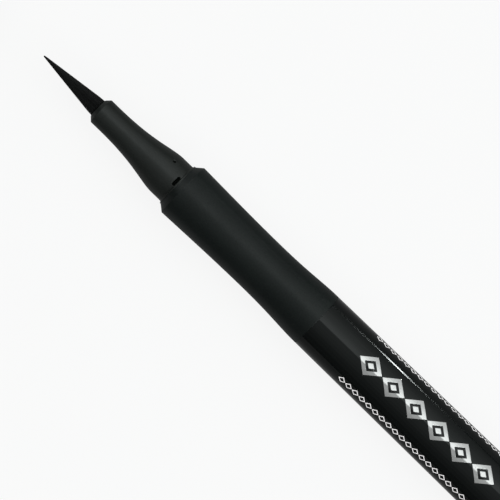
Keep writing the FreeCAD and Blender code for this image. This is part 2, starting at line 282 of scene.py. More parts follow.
@dataclass
class Outline:
    """Half outline of a turned piece, front to rear along the outside and back along any bore.

    Attributes:
        spots: Stretches of station and radius, in millimetres.
        edges: Radius of the edge round at each spot, nought on a smooth curve.
    """

    spots: list[Array] = field(default_factory=list)
    edges: list[Array] = field(default_factory=list)

    def to(self, station: float, radius: float, edge: float = EDGE) -> "Outline":
        """Adds one corner with an edge round and returns the outline."""
        self.spots.append(np.array([[station, radius]]))
        self.edges.append(np.array([edge]))
        return self

    def along(self, curve: Array) -> "Outline":
        """Adds the points of a smooth curve and returns the outline."""
        self.spots.append(curve)
        self.edges.append(np.zeros(len(curve)))
        return self

    def groove(self, station: float, half_width: float, land: float, bottom: float) -> "Outline":
        """Adds the four corners of a square groove and returns the outline."""
        for side, radius in ((-1, land), (-1, bottom), (1, bottom), (1, land)):
            self.to(station + side * half_width, radius)
        return self

    def rounded(self) -> Array:
        """Outline with a circular arc at each corner and a support point on either side of it.

        An arc is the rational curve of the second degree on the corner and its two tangent points,
        whose middle weight is the cosine of half the turn. The setback is the radius times the tangent of
        half the turn, and takes at most a share of the shorter neighbouring side.

        Returns:
            Rows of station and radius.
        """
        corner, edge = np.concatenate(self.spots), np.concatenate(self.edges)
        back, ahead = np.roll(corner, 1, axis=0) - corner, np.roll(corner, -1, axis=0) - corner
        back_length, ahead_length = np.linalg.norm(back, axis=1), np.linalg.norm(ahead, axis=1)
        back, ahead = back / back_length[:, None], ahead / ahead_length[:, None]
        turn = np.pi - np.arccos(np.clip((back * ahead).sum(axis=1), -1.0, 1.0))
        room = ARC_ROOM * np.minimum(back_length, ahead_length)
        setback = np.minimum(edge * np.tan(turn / 2), room)[:, None]
        t = np.linspace(0.0, 1.0, ARC_POINTS)
        middle = 2 * t * (1 - t) * np.cos(turn / 2)[:, None]
        first = np.broadcast_to((1 - t) ** 2, middle.shape)
        last = np.broadcast_to(t**2, middle.shape)
        arc = first[..., None] * (corner + setback * back)[:, None]
        arc = arc + middle[..., None] * corner[:, None]
        arc = arc + last[..., None] * (corner + setback * ahead)[:, None]
        arc = arc / (first + middle + last)[..., None]
        lead, trail = corner + SUPPORT_REACH * setback * back, corner + SUPPORT_REACH * setback * ahead
        spots = np.concatenate([lead[:, None], arc, trail[:, None]], axis=1)
        keep = np.repeat((edge > 0)[:, None], spots.shape[1], axis=1)
        keep[:, 0] = True
        return spots[keep]


def turned(outline: Array, lie: Lie, angles: Array, inset: Array | float = 0.0) -> Surface:
    """Surface of revolution: each point of the outline is carried round the axis.

    An outline that starts and ends on the axis gets a fan of triangles at each pole; any other is a closed
    loop whose last row joins the first.

    Args:
        outline: Rows of station and radius.
        lie: Place of the axis.
        angles: Turns of the columns in radians.
        inset: Depth by which each grid point sinks towards the axis.

    Returns:
        The closed surface.
    """
    on_axis = outline[0, 1] < ON_AXIS
    rows = outline[1:-1] if on_axis else outline
    points = lie.place(rows[:, :1], rows[:, 1:] - inset, angles[None, :]).reshape(-1, 3)
    quads = grid_quads(len(rows), len(angles), not on_axis, True)
    if not on_axis:
        return Surface(points, quads, NO_TRIANGLES)
    poles = lie.place(outline[[0, -1], 0], np.zeros(2), np.zeros(2))
    return Surface(np.concatenate([points, poles]), quads, end_fans(len(rows), len(angles)))


def gate_mark(station: float, radius: float, depth: float) -> Array:
    """Soft dip in an end face, from its rim to the axis: the depth rises as half a cosine wave.

    Args:
        station: Station of the face.
        radius: Radius of the dip.
        depth: Depth on the axis, negative where the face looks to the front.

    Returns:
        Rows of station and radius, the last on the axis.
    """
    share = np.linspace(1.0, 0.0, GATE_POINTS)
    return np.stack([station - depth * 0.5 * (1 + np.cos(np.pi * share)), radius * share], axis=-1)


def even_angles(count: int) -> Array:
    """Turns of a whole circle in equal steps."""
    return np.arange(count) * (2 * np.pi / count)


def directions(angle: Array) -> tuple[Array, Array]:
    """Unit directions away from the axis and round it.

    Args:
        angle: Turns about the axis in radians, nought at the top.

    Returns:
        Outward and sideways directions, each with a last dimension of three.
    """
    flat, sine, cosine = np.zeros_like(angle), np.sin(angle), np.cos(angle)
    return np.stack([flat, sine, cosine], axis=-1), np.stack([flat, cosine, -sine], axis=-1)


def tubes(centres: Array, first_side: Array, second_side: Array, radius: Array, sides: int) -> Surface:
    """Round tubes along many paths at once, each closed by a fan at both ends.

    A point is the path's point plus the radius times the cosine of a turn along one side direction and
    the sine along the other.

    Args:
        centres: Path points, as tubes by points by three.
        first_side: Unit directions across the paths, same shape.
        second_side: Unit directions across both, same shape.
        radius: Tube radii, as tubes by points.
        sides: Corners round each tube.

    Returns:
        All the tubes as one surface.
    """
    count, length = radius.shape
    cosine, sine = np.cos(even_angles(sides))[:, None], np.sin(even_angles(sides))[:, None]
    ring = first_side[:, :, None] * cosine + second_side[:, :, None] * sine
    points = (centres[:, :, None] + radius[:, :, None, None] * ring).reshape(count, -1, 3)
    points = np.concatenate([points, centres[:, [0, -1]]], axis=1)
    offset = (np.arange(count) * points.shape[1])[:, None, None]
    quads = grid_quads(length, sides, False, True) + offset
    fans = end_fans(length, sides) + offset
    return Surface(points.reshape(-1, 3), quads.reshape(-1, 4), fans.reshape(-1, 3))


# Shader maths

NOISE_MEAN = 0.5
NOISE_ROUGHNESS = 0.55

# Layers of detail in a noise
PLAIN, USUAL, FINE = 1.0, 2.0, 3.0

# Sockets of a Mix node that mixes colours
MIX_FACTOR, MIX_LOW, MIX_HIGH, MIX_RESULT = 0, 6, 7, 2


class Value:
    """Output socket of a node; arithmetic on it adds Math nodes to its tree."""

    def __init__(self, tree: "Tree", socket: bpy.types.NodeSocket) -> None:
        """Keeps the tree and the socket."""
        self.tree, self.socket = tree, socket

    def _math(self, operation: str, first: "Value | float", second: "Value | float") -> "Value":
        """Math node on two values."""
        return self.tree.node("ShaderNodeMath", {"operation": operation}, {0: first, 1: second})

    def __add__(self, other: "Value | float") -> "Value":
        """Sum."""
        return self._math("ADD", self, other)

    def __radd__(self, other: float) -> "Value":
        """Sum with a number first."""
        return self._math("ADD", other, self)

    def __sub__(self, other: "Value | float") -> "Value":
        """Difference."""
        return self._math("SUBTRACT", self, other)

    def __rsub__(self, other: float) -> "Value":
        """Difference from a number."""
        return self._math("SUBTRACT", other, self)

    def __mul__(self, other: "Value | float") -> "Value":
        """Product."""
        return self._math("MULTIPLY", self, other)

    def __rmul__(self, other: float) -> "Value":
        """Product with a number first."""
        return self._math("MULTIPLY", other, self)

    def about(self, mean: float, swing: float) -> "Value":
        """Noise moved to another mean, and stretched or shrunk about it."""
        return mean + swing * (self - NOISE_MEAN)

    def step(self, low: float, high: float) -> "Value":
        """Smooth step from nought at low to one at high."""
        inputs = {"Value": self, "From Min": low, "From Max": high}
        return self.tree.node("ShaderNodeMapRange", {"interpolation_type": "SMOOTHSTEP"}, inputs)


class Tree:
    """Material with a Principled shader, and the ways to feed it."""

    def __init__(self, name: str) -> None:
        """Makes the material.

        Args:
            name: Name of the material.
        """
        self.material = bpy.data.materials.new(name)
        self.material.use_nodes = True
        self.nodes, self.links = self.material.node_tree.nodes, self.material.node_tree.links
        self.nodes.clear()
        self.shader = self.nodes.new("ShaderNodeBsdfPrincipled")
        self.output = self.nodes.new("ShaderNodeOutputMaterial")
        self.links.new(self.shader.outputs[0], self.output.inputs["Surface"])

    def node(
        self,
        kind: str,
        settings: Mapping[str, Any] | None = None,
        inputs: Mapping[str | int, Any] | None = None,
        output: str | int = 0,
    ) -> Value:
        """Adds a node of any type.

        Args:
            kind: Type of the node.
            settings: Properties, set first.
            inputs: Numbers, colours or values for its sockets.
            output: Socket to return.

        Returns:
            The chosen output.
        """
        made = self.nodes.new(kind)
        for name, setting in (settings or {}).items():
            setattr(made, name, setting)
        for key, given in (inputs or {}).items():
            self.feed(made.inputs[key], given)
        return Value(self, made.outputs[output])

    def feed(self, socket: bpy.types.NodeSocket, given: Any) -> None:
        """Links a value to a socket, or sets a number or colour on it."""
        if isinstance(given, Value):
            self.links.new(given.socket, socket)
        else:
            socket.default_value = given

    def point(self, along: float, across: float) -> Value:
        """Place on the piece, stretched along the pen's axis.

        Args:
            along: Length in millimetres that counts as one along the axis.
            across: Length in millimetres that counts as one across it.

        Returns:
            A vector for a texture.
        """
        place = self.node("ShaderNodeTexCoord", output="Object")
        scale = (1 / (along * MM), 1 / (across * MM), 1 / (across * MM))
        return self.node("ShaderNodeVectorMath", {"operation": "MULTIPLY"}, {0: place, 1: scale})

    def noise(self, along: float, across: float, detail: float = USUAL) -> Value:
        """Noise of a given size in millimetres along and across the axis, about a half in the mean."""
        inputs = {"Scale": 1.0, "Detail": detail, "Roughness": NOISE_ROUGHNESS}
        inputs["Vector"] = self.point(along, across)
        return self.node("ShaderNodeTexNoise", {"noise_dimensions": "3D"}, inputs)

    def mix(self, factor: Value, low: Any, high: Any) -> Value:
        """Colour between two, by a factor from nought to one."""
        settings = {"data_type": "RGBA", "clamp_factor": True}
        inputs = {MIX_FACTOR: factor, MIX_LOW: low, MIX_HIGH: high}
        return self.node("ShaderNodeMix", settings, inputs, MIX_RESULT)

    def shades(self, factor: Value, colour: Colour, gains: Pair) -> Value:
        """Colour between two gains of one colour, by a factor from nought to one."""
        return self.mix(factor, rgba(colour, gains[0]), rgba(colour, gains[1]))

    def bump(self, height: Value, depth: float) -> Value:
        """Normal that follows a height of nought to one, with a full depth in millimetres."""
        return self.node("ShaderNodeBump", {}, {"Strength": 1.0, "Distance": depth * MM, "Height": height})

    def shine(self, loss: float, slants: Pair) -> Value:
        """Share of a clear skin's shine: one face-on, and less by a loss towards edge-on.

        Args:
            loss: Share that is lost edge-on.
            slants: Where the loss begins and is complete, from nought face-on to one edge-on.

        Returns:
            The share.
        """
        return 1 - loss * self.node("ShaderNodeLayerWeight", output="Facing").step(*slants)

    def finish(self, sockets: Mapping[str, Any]) -> bpy.types.Material:
        """Feeds the shader and returns the material.

        Args:
            sockets: Values, numbers or colours by socket name.

        Returns:
            The finished material.
        """
        for name, given in sockets.items():
            self.feed(self.shader.inputs[name], given)
        return self.material


def rgba(colour: Colour, gain: float = 1.0) -> tuple[float, float, float, float]:
    """Opaque colour, lightened or darkened by a gain."""
    return (colour[0] * gain, colour[1] * gain, colour[2] * gain, 1.0)


# Finishes

# A clear skin over a ground that hardly shines itself
CLEAR_SKIN = {"IOR": 1.05, "Coat IOR": 1.5}


@dataclass(frozen=True)
class Finish:
    """Finish of a piece.

    Attributes:
        name: Name of the material.
        slot: Material slot of the record.
        colour: Linear colour.
    """

    name: str
    slot: Slot
    colour: Colour

    def make(self) -> bpy.types.Material:
        """Makes the material."""
        raise NotImplementedError


@dataclass(frozen=True)
class SatinPlastic(Finish):
    """Moulded plastic with a spark-eroded grain and a satin skin.

    Attributes:
        sheen: Share of the skin that shines.
        roughness: Roughness of the skin.
        grain: Size of the grain in millimetres.
        relief: Depth of the grain in millimetres.
        edge_loss: Share of the shine that is lost edge-on.
        slants: Slants between which it is lost.
        cloud: Length and width of the clouds in millimetres.
        gains: Gains of the darkest and the lightest tone.
        blend: Step that sharpens clouds and grain into those tones.
        skin_swings: Swings of the shine with the clouds and with the grain.
        ground: Mean roughness under the skin and its swing with the grain.
    """

    sheen: float
    roughness: float
    grain: float
    relief: float
    edge_loss: float
    slants: Pair = (0.08, 0.32)
    cloud: Pair = (9.0, 4.0)
    gains: Pair = (0.82, 1.18)
    blend: Pair = (0.3, 0.7)
    skin_swings: Pair = (0.3, 0.6)
    ground: Pair = (0.7, 0.3)

    def make(self) -> bpy.types.Material:
        """Material: clouded tone, and a fine grain in the relief and in the skin's shine."""
        tree = Tree(self.name)
        cloud, grain = tree.noise(*self.cloud), tree.noise(self.grain, self.grain, FINE)
        tone = (0.5 * cloud + 0.5 * grain).step(*self.blend)
        cloud_swing, grain_swing = self.skin_swings
        skin = self.sheen * (cloud.about(1.0, cloud_swing) + grain_swing * (grain - NOISE_MEAN))
        return tree.finish({
            **CLEAR_SKIN,
            "Base Color": tree.shades(tone, self.colour, self.gains),
            "Roughness": grain.about(*self.ground),
            "Normal": tree.bump(grain, self.relief),
            "Coat Weight": skin * tree.shine(self.edge_loss, self.slants),
            "Coat Roughness": self.roughness,
        })


@dataclass(frozen=True)
class GlossLacquer(Finish):
    """Clear gloss lacquer on a black ground, with faint peel, smears and hairline marks.

    Attributes:
        roughness: Roughness of the clean lacquer.
        edge_loss: Share of the gloss that is lost edge-on.
        slants: Slants between which it is lost.
        smear: Length and width of the smears in millimetres.
        smear_step: Step that parts the smears from clean lacquer.
        hairline: Length and width of the hairlines in millimetres.
        hairline_step: Step that thins the hairlines out.
        dulling: Gloss that a smear and a hairline take away.
        peel: Length and width of the peel in millimetres.
        peel_depth: Depth of the peel in millimetres.
        gains: Gains of the darkest and the lightest tone.
        ground: Mean roughness under the lacquer and its swing with smears and hairlines.
    """

    roughness: float
    edge_loss: float
    slants: Pair = (0.20, 0.33)
    smear: Pair = (14.0, 3.5)
    smear_step: Pair = (0.45, 0.75)
    hairline: Pair = (9.0, 0.09)
    hairline_step: Pair = (0.66, 0.72)
    dulling: Pair = (0.12, 0.15)
    peel: Pair = (1.6, 1.1)
    peel_depth: float = 0.0012
    gains: Pair = (0.85, 1.15)
    ground: Pair = (0.3, 0.1)

    def make(self) -> bpy.types.Material:
        """Material: smears and hairlines dull the lacquer, and the peel is in the ground's relief."""
        tree = Tree(self.name)
        smear = tree.noise(*self.smear, FINE)
        hairline = tree.noise(*self.hairline, PLAIN).step(*self.hairline_step)
        dull = self.dulling[0] * smear.step(*self.smear_step) + self.dulling[1] * hairline
        return tree.finish({
            **CLEAR_SKIN,
            "Base Color": tree.shades(smear, self.colour, self.gains),
            "Roughness": smear.about(*self.ground) + self.ground[1] * hairline,
            "Normal": tree.bump(tree.noise(*self.peel, PLAIN), self.peel_depth),
            "Coat Weight": (1 - dull) * tree.shine(self.edge_loss, self.slants),
            "Coat Roughness": self.roughness,
        })


@dataclass(frozen=True)
class SilverFoil(Finish):
    """Hot-stamped silver foil with pinholes.

    Attributes:
        ground: Linear colour that shows through a pinhole.
        roughness: Mean roughness.
        brush: Length and width of the brush marks in millimetres.
        brush_depth: Depth of the brush marks in millimetres.
        brush_swing: Swing of the roughness with the brush marks.
        gains: Gains of the darkest and the lightest tone.
        pinhole: Size of the pinholes in millimetres.
        pinhole_step: Step that thins the pinholes out.
    """

    ground: Colour
    roughness: float
    brush: Pair = (2.4, 0.12)
    brush_depth: float = 0.0015
    brush_swing: float = 0.12
    gains: Pair = (0.86, 1.04)
    pinhole: float = 0.14
    pinhole_step: Pair = (0.70, 0.76)

    def make(self) -> bpy.types.Material:
        """Material: brushed metal, bare of metal in the pinholes."""
        tree = Tree(self.name)
        brush = tree.noise(*self.brush)
        hole = tree.noise(self.pinhole, self.pinhole, PLAIN).step(*self.pinhole_step)
        metal = tree.shades(brush, self.colour, self.gains)
        return tree.finish({
            "Base Color": tree.mix(hole, metal, rgba(self.ground)),
            "Metallic": 1 - hole,
            "Roughness": brush.about(self.roughness, self.brush_swing),
            "Normal": tree.bump(brush, self.brush_depth),
        })


@dataclass(frozen=True)
class InkedFibre(Finish):
    """Fibre soaked with ink, streaked along its length.

    Attributes:
        roughness: Mean roughness.
        streak: Width of the streaks in millimetres.
        ior: Index of refraction.
        streak_length: Length of the streaks in widths.
        streak_depth: Depth of the streaks in widths.
        pool: Length and width of the ink pools in millimetres.
        pool_step: Step that parts the pools from drier fibre.
        parts: Parts of streaks and pools in the tone.
        blend: Step that sharpens them into tones.
        gains: Gains of the darkest and the lightest tone.
        smoothing: Swing of the roughness with the streaks, and its loss in a pool.
    """

    roughness: float
    streak: float
    ior: float
    streak_length: float = 30.0
    streak_depth: float = 0.1
    pool: Pair = (3.0, 1.0)
    pool_step: Pair = (0.5, 0.7)
    parts: Pair = (0.7, 0.3)
    blend: Pair = (0.3, 0.7)
    gains: Pair = (0.6, 1.4)
    smoothing: Pair = (0.2, 0.1)

    def make(self) -> bpy.types.Material:
        """Material: long thin streaks in tone, sheen and relief."""
        tree = Tree(self.name)
        streak, pool = tree.noise(self.streak_length * self.streak, self.streak), tree.noise(*self.pool)
        tone = (self.parts[0] * streak + self.parts[1] * pool).step(*self.blend)
        swing, loss = self.smoothing
        return tree.finish({
            "Base Color": tree.shades(tone, self.colour, self.gains),
            "Roughness": streak.about(self.roughness, swing) - loss * pool.step(*self.pool_step),
            "IOR": self.ior,
            "Normal": tree.bump(streak, self.streak_depth * self.streak),
        })


@dataclass(frozen=True)
class NaturalPlastic(Finish):
    """Unpigmented moulded plastic with flow marks.

    Attributes:
        stain: Linear colour of a faint ink stain.
        roughness: Mean roughness.
        cloud: Length and width of the milky clouds in millimetres.
        gains: Gains of the darkest and the lightest cloud.
        flow: Length and width of the flow marks in millimetres.
        flow_depth: Depth of the flow marks in millimetres.
        flow_swing: Swing of the roughness with the flow marks.
        stain_size: Length and width of the stains in millimetres.
        stain_step: Step that thins the stains out.
        stain_share: Share of the stain's colour at its darkest.
        ior: Index of refraction.
    """

    stain: Colour
    roughness: float
    cloud: Pair = (5.0, 2.0)
    gains: Pair = (0.92, 1.05)
    flow: Pair = (6.0, 0.5)
    flow_depth: float = 0.003
    flow_swing: float = 0.15
    stain_size: Pair = (2.5, 1.5)
    stain_step: Pair = (0.55, 0.8)
    stain_share: float = 0.25
    ior: float = 1.49

    def make(self) -> bpy.types.Material:
        """Material: milky clouds, flow marks along the axis and a faint stain."""
        tree = Tree(self.name)
        flow = tree.noise(*self.flow)
        milky = tree.shades(tree.noise(*self.cloud), self.colour, self.gains)
        stain = self.stain_share * tree.noise(*self.stain_size, FINE).step(*self.stain_step)
        return tree.finish({
            "Base Color": tree.mix(stain, milky, rgba(self.stain)),
            "Roughness": flow.about(self.roughness, self.flow_swing),
            "IOR": self.ior,
            "Normal": tree.bump(flow, self.flow_depth),
        })


@dataclass(frozen=True)
class Elastomer(Finish):
    """Smooth seal rubber with a bloom.

    Attributes:
        bloom: Linear colour of the bloom.
        patch: Size of the bloom's patches in millimetres.
        patch_step: Step that parts the patches from bare rubber.
        patch_share: Share of the bloom's colour at its palest.
        matt: Mean roughness and its swing with the bloom.
        grain: Size of the grain in millimetres.
        relief: Depth of the grain in millimetres.
        ior: Index of refraction.
    """

    bloom: Colour
    patch: float = 1.2
    patch_step: Pair = (0.45, 0.75)
    patch_share: float = 0.5
    matt: Pair = (0.5, 0.25)
    grain: float = 0.12
    relief: float = 0.002
    ior: float = 1.5

    def make(self) -> bpy.types.Material:
        """Material: a pale bloom in patches over dark rubber."""
        tree = Tree(self.name)
        patch = tree.noise(self.patch, self.patch, FINE)
        bloom = self.patch_share * patch.step(*self.patch_step)
        return tree.finish({
            "Base Color": tree.mix(bloom, rgba(self.colour), rgba(self.bloom)),
            "Roughness": patch.about(*self.matt),
            "IOR": self.ior,
            "Normal": tree.bump(tree.noise(self.grain, self.grain), self.relief),
        })


@dataclass(frozen=True)
class DrawnSteel(Finish):
    """Bright steel with draw marks.

    Attributes:
        roughness: Mean roughness.
        mark: Width of the draw marks in millimetres.
        mark_depth: Depth of the draw marks in millimetres.
        mark_swing: Swing of the roughness with the draw marks.
        film: Size of the oil film's patches in millimetres.
        gains: Gains of the darkest and the lightest tone.
    """

    roughness: float
    mark: float
    mark_depth: float = 0.001
    mark_swing: float = 0.15
    film: float = 2.0
    gains: Pair = (0.88, 1.05)

    def make(self) -> bpy.types.Material:
        """Material: metal whose marks change sheen and relief, under a film that changes its tone."""
        tree = Tree(self.name)
        mark = tree.noise(self.mark, self.mark)
        return tree.finish({
            "Base Color": tree.shades(tree.noise(self.film, self.film), self.colour, self.gains),
            "Metallic": 1.0,
            "Roughness": mark.about(self.roughness, self.mark_swing),
            "Normal": tree.bump(mark, self.mark_depth),
        })


LACQUER_BLACK: Colour = (0.0011, 0.0023, 0.0021)
INK_STAIN: Colour = (0.05, 0.05, 0.06)


@dataclass(frozen=True)
class FinishSet:
    """All finishes of the pen."""

    brush: Finish = InkedFibre(
        "inked_filament", Slot.BRUSH, (0.0023, 0.0025, 0.0024), roughness=0.6, streak=0.09, ior=1.3,
    )
    wick: Finish = InkedFibre(
        "inked_felt", Slot.WICK, (0.02, 0.02, 0.02), roughness=0.85, streak=0.05, ior=1.4,
    )
    holder: Finish = SatinPlastic(
        "holder_satin", Slot.HOLDER, (0.0112, 0.0130, 0.0117),
        sheen=1.0, roughness=0.36, grain=0.16, relief=0.004, edge_loss=0.82,
    )
    grip: Finish = SatinPlastic(
        "grip_matt", Slot.GRIP, (0.0042, 0.0067, 0.0062),
        sheen=0.74, roughness=0.38, grain=0.22, relief=0.005, edge_loss=0.78,
    )
    gloss: Finish = GlossLacquer("black_lacquer", Slot.BARREL, LACQUER_BLACK, roughness=0.08, edge_loss=0.86)
    cap: Finish = GlossLacquer("cap_lacquer", Slot.CAP, LACQUER_BLACK, roughness=0.08, edge_loss=0.86)
    foil: Finish = SilverFoil(
        "silver_foil", Slot.BARREL, (0.98, 0.96, 0.96), ground=(0.01, 0.01, 0.01), roughness=0.10,
    )
    inner: Finish = NaturalPlastic("natural_inner", Slot.INNER, (0.72, 0.72, 0.68), INK_STAIN, roughness=0.45)
    inner_cap: Finish = NaturalPlastic(
        "natural_cup", Slot.INNER_CAP, (0.70, 0.70, 0.67), INK_STAIN, roughness=0.4,
    )
    seal: Finish = Elastomer("seal_elastomer", Slot.SEAL, (0.012, 0.012, 0.013), bloom=(0.06, 0.06, 0.06))
    ball: Finish = DrawnSteel("ball_polish", Slot.BALL, (0.62, 0.62, 0.63), roughness=0.18, mark=0.3)
    spring: Finish = DrawnSteel("spring_wire", Slot.SPRING, (0.56, 0.56, 0.57), roughness=0.28, mark=0.1)


FINISHES = FinishSet()


@functools.cache
def material_of(finish: Finish) -> bpy.types.Material:
    """Material of a finish, made once."""
    return finish.make()


# Sub-assemblies, with stations, radii and other lengths in millimetres


@dataclass
class SubAssembly:
    """Pieces that are built together and ride on one body.

    Attributes:
        lie: Place of the axis and of station zero.
        body: Body that the pieces ride on.
        pieces: Built objects with their finishes.
    """

    lie: Lie
    body: Body
    pieces: list[tuple[bpy.types.Object, Finish]] = field(default_factory=list, init=False)

    def build(self) -> None:
        """Makes the pieces."""
        raise NotImplementedError

    def add(self, name: str, surface: Surface, finish: Finish, *nodes: str) -> bpy.types.Object:
        """Makes a piece, rides it on the body and lets it stand for CAD nodes.

        Args:
            name: Name of the piece.
            surface: Its shape.
            finish: Its finish.
            *nodes: CAD nodes that it replaces.

        Returns:
            The new object.
        """
        piece = surface.to_object(name)
        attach(piece, self.body.value)
        if nodes:
            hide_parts(*nodes)
        self.pieces.append((piece, finish))
        return piece

    def turn(self, outline: Outline, columns: int) -> Surface:
        """Outline with its edges rounded, carried round the axis in even columns."""
        return turned(outline.rounded(), self.lie, even_angles(columns))

    def dress(self) -> None:
        """Gives each piece the material of its finish."""
        for piece, finish in self.pieces:
            piece.data.materials.append(material_of(finish))

    def report(self) -> None:
        """Logs each piece with its faces, finish and body."""
        for piece, finish in self.pieces:
            faces = len(piece.data.polygons)
            log.info("%s: %d faces, %s, rides on %s", piece.name, faces, finish.name, self.body.value)


@dataclass
class BrushTip(SubAssembly):
    """Tapered bundle of filaments round a solid heart.

    Attributes:
        reach: Length from the point to the holder's mouth.
        root: Station where the filaments end in the ferrule.
        base_radius: Radius of the bundle at the mouth.
        point_radius: Radius of the bundle at the point.
        filament_radius: Radius of one filament.
        filaments: Number of filaments.
        filament_sides: Corners round a filament.
        filament_points: Points along a filament.
        gathering: Power that gathers those points near the filament's end.
        inner_share: Share of the bundle's radius inside which the heart fills it.
        stagger: Furthest setback of a filament's end, and the power that makes most setbacks short.
        end_share: Share of a filament's thickness at its end.
        end_run: Length over which a filament would gain its whole thickness.
        wave: Sideways wave in radians, its turn for each millimetre and for each filament.
        tip_room: Least distance that the filaments may spread, as a share of the point's radius.
        heart_front: Stations of the heart's point and of its first ring.
        heart_share: Share of the room inside the filaments that the heart fills.
        heart_run: Length over which the filaments' thickness comes off the heart.
        heart_least: Least share of that thickness.
        heart_grid: Rings along the heart and columns round it.
        seed: Seed of the setbacks.
    """

    reach: float = 12.0
    root: float = 12.8
    base_radius: float = 1.64
    point_radius: float = 0.13
    filament_radius: float = 0.075
    filaments: int = 300
    filament_sides: int = 5
    filament_points: int = 9
    gathering: float = 1.3
    inner_share: float = 0.72
    stagger: Pair = (5.5, 2.4)
    end_share: float = 0.28
    end_run: float = 5.0
    wave: Triple = (0.02, 0.9, 2.1)
    tip_room: float = 0.25
    heart_front: Pair = (0.2, 0.35)
    heart_share: float = 0.9
    heart_run: float = 3.0
    heart_least: float = 0.3
    heart_grid: tuple[int, int] = (40, 48)
    seed: int = 11

    def envelope(self, station: Array) -> Array:
        """Radius of the bundle: a straight taper that stays level inside the holder."""
        share = np.clip(station / self.reach, 0.0, 1.0)
        return self.point_radius + (self.base_radius - self.point_radius) * share

    def bundle(self) -> Surface:
        """Filaments, each at its own angle and its own share of the bundle's radius.

        The filaments sit on a sunflower spiral across the bundle, keep their share of its radius along the
        taper with a slight wave, and end at staggered stations, most of them near the point. Towards its end
        a filament thins with the square root of the distance.

        Returns:
            All the filaments as one surface.
        """
        number = np.arange(self.filaments)[:, None]
        inner = self.inner_share**2
        share = np.sqrt(inner + (1 - inner) * (number + 0.5) / self.filaments)
        draw = np.random.default_rng(self.seed).random(self.filaments)[:, None]
        end = self.stagger[0] * draw ** self.stagger[1]
        along = np.linspace(0.0, 1.0, self.filament_points)[None, :] ** self.gathering
        station = end + (self.root - end) * along
        growth = np.clip(self.end_share + np.sqrt((station - end) / self.end_run), 0.0, 1.0)
        thick = self.filament_radius * growth
        swing, each_millimetre, each_filament = self.wave
        wave = swing * np.sin(each_millimetre * station + each_filament * number)
        angle = number * np.pi * (3 - np.sqrt(5)) + wave
        room = np.maximum(self.envelope(station) - thick, self.tip_room * self.point_radius)
        centres = self.lie.place(station, share * room, angle)
        return tubes(centres, *directions(angle), thick, self.filament_sides)

    def heart(self) -> Surface:
        """Solid taper inside the bundle, turned about the axis."""
        rings, columns = self.heart_grid
        pole, first = self.heart_front
        station = np.linspace(first, self.root, rings)
        skin = self.filament_radius * np.clip(station / self.heart_run, self.heart_least, 1.0)
        radius = self.heart_share * (self.envelope(station) - skin)
        drawn = Outline().to(pole, 0.0, 0.0).along(np.stack([station, radius], axis=-1))
        return self.turn(drawn.to(self.root, 0.0, 0.0), columns)

    def build(self) -> None:
        """Makes the filaments and the heart."""
        self.add("brush_filaments", self.bundle(), FINISHES.brush, "brush_tuft")
        self.add("brush_heart", self.heart(), FINISHES.brush)


@dataclass(frozen=True)
class Vent:
    """Air vent: a round-ended slot that runs round the collar, or a hole where its run is nought.

    Attributes:
        station: Station of its middle.
        turn: Turn of its middle in degrees.
        half_run: Half the distance between the middles of its ends.
        radius: Radius of its ends.
    """

    station: float
    turn: float
    half_run: float
    radius: float

    def well(self, station: Array, around: Array) -> Array:
        """Share of the depth: it grows evenly from nought at the rim to one on the middle line.

        Args:
            station: Stations of the points.
            around: Distances of the points round the collar from the vent's middle.

        Returns:
            The share at each point.
        """
        away = np.hypot(station - self.station, np.maximum(np.abs(around) - self.half_run, 0.0))
        return np.clip((self.radius - away) / self.radius, 0.0, 1.0)


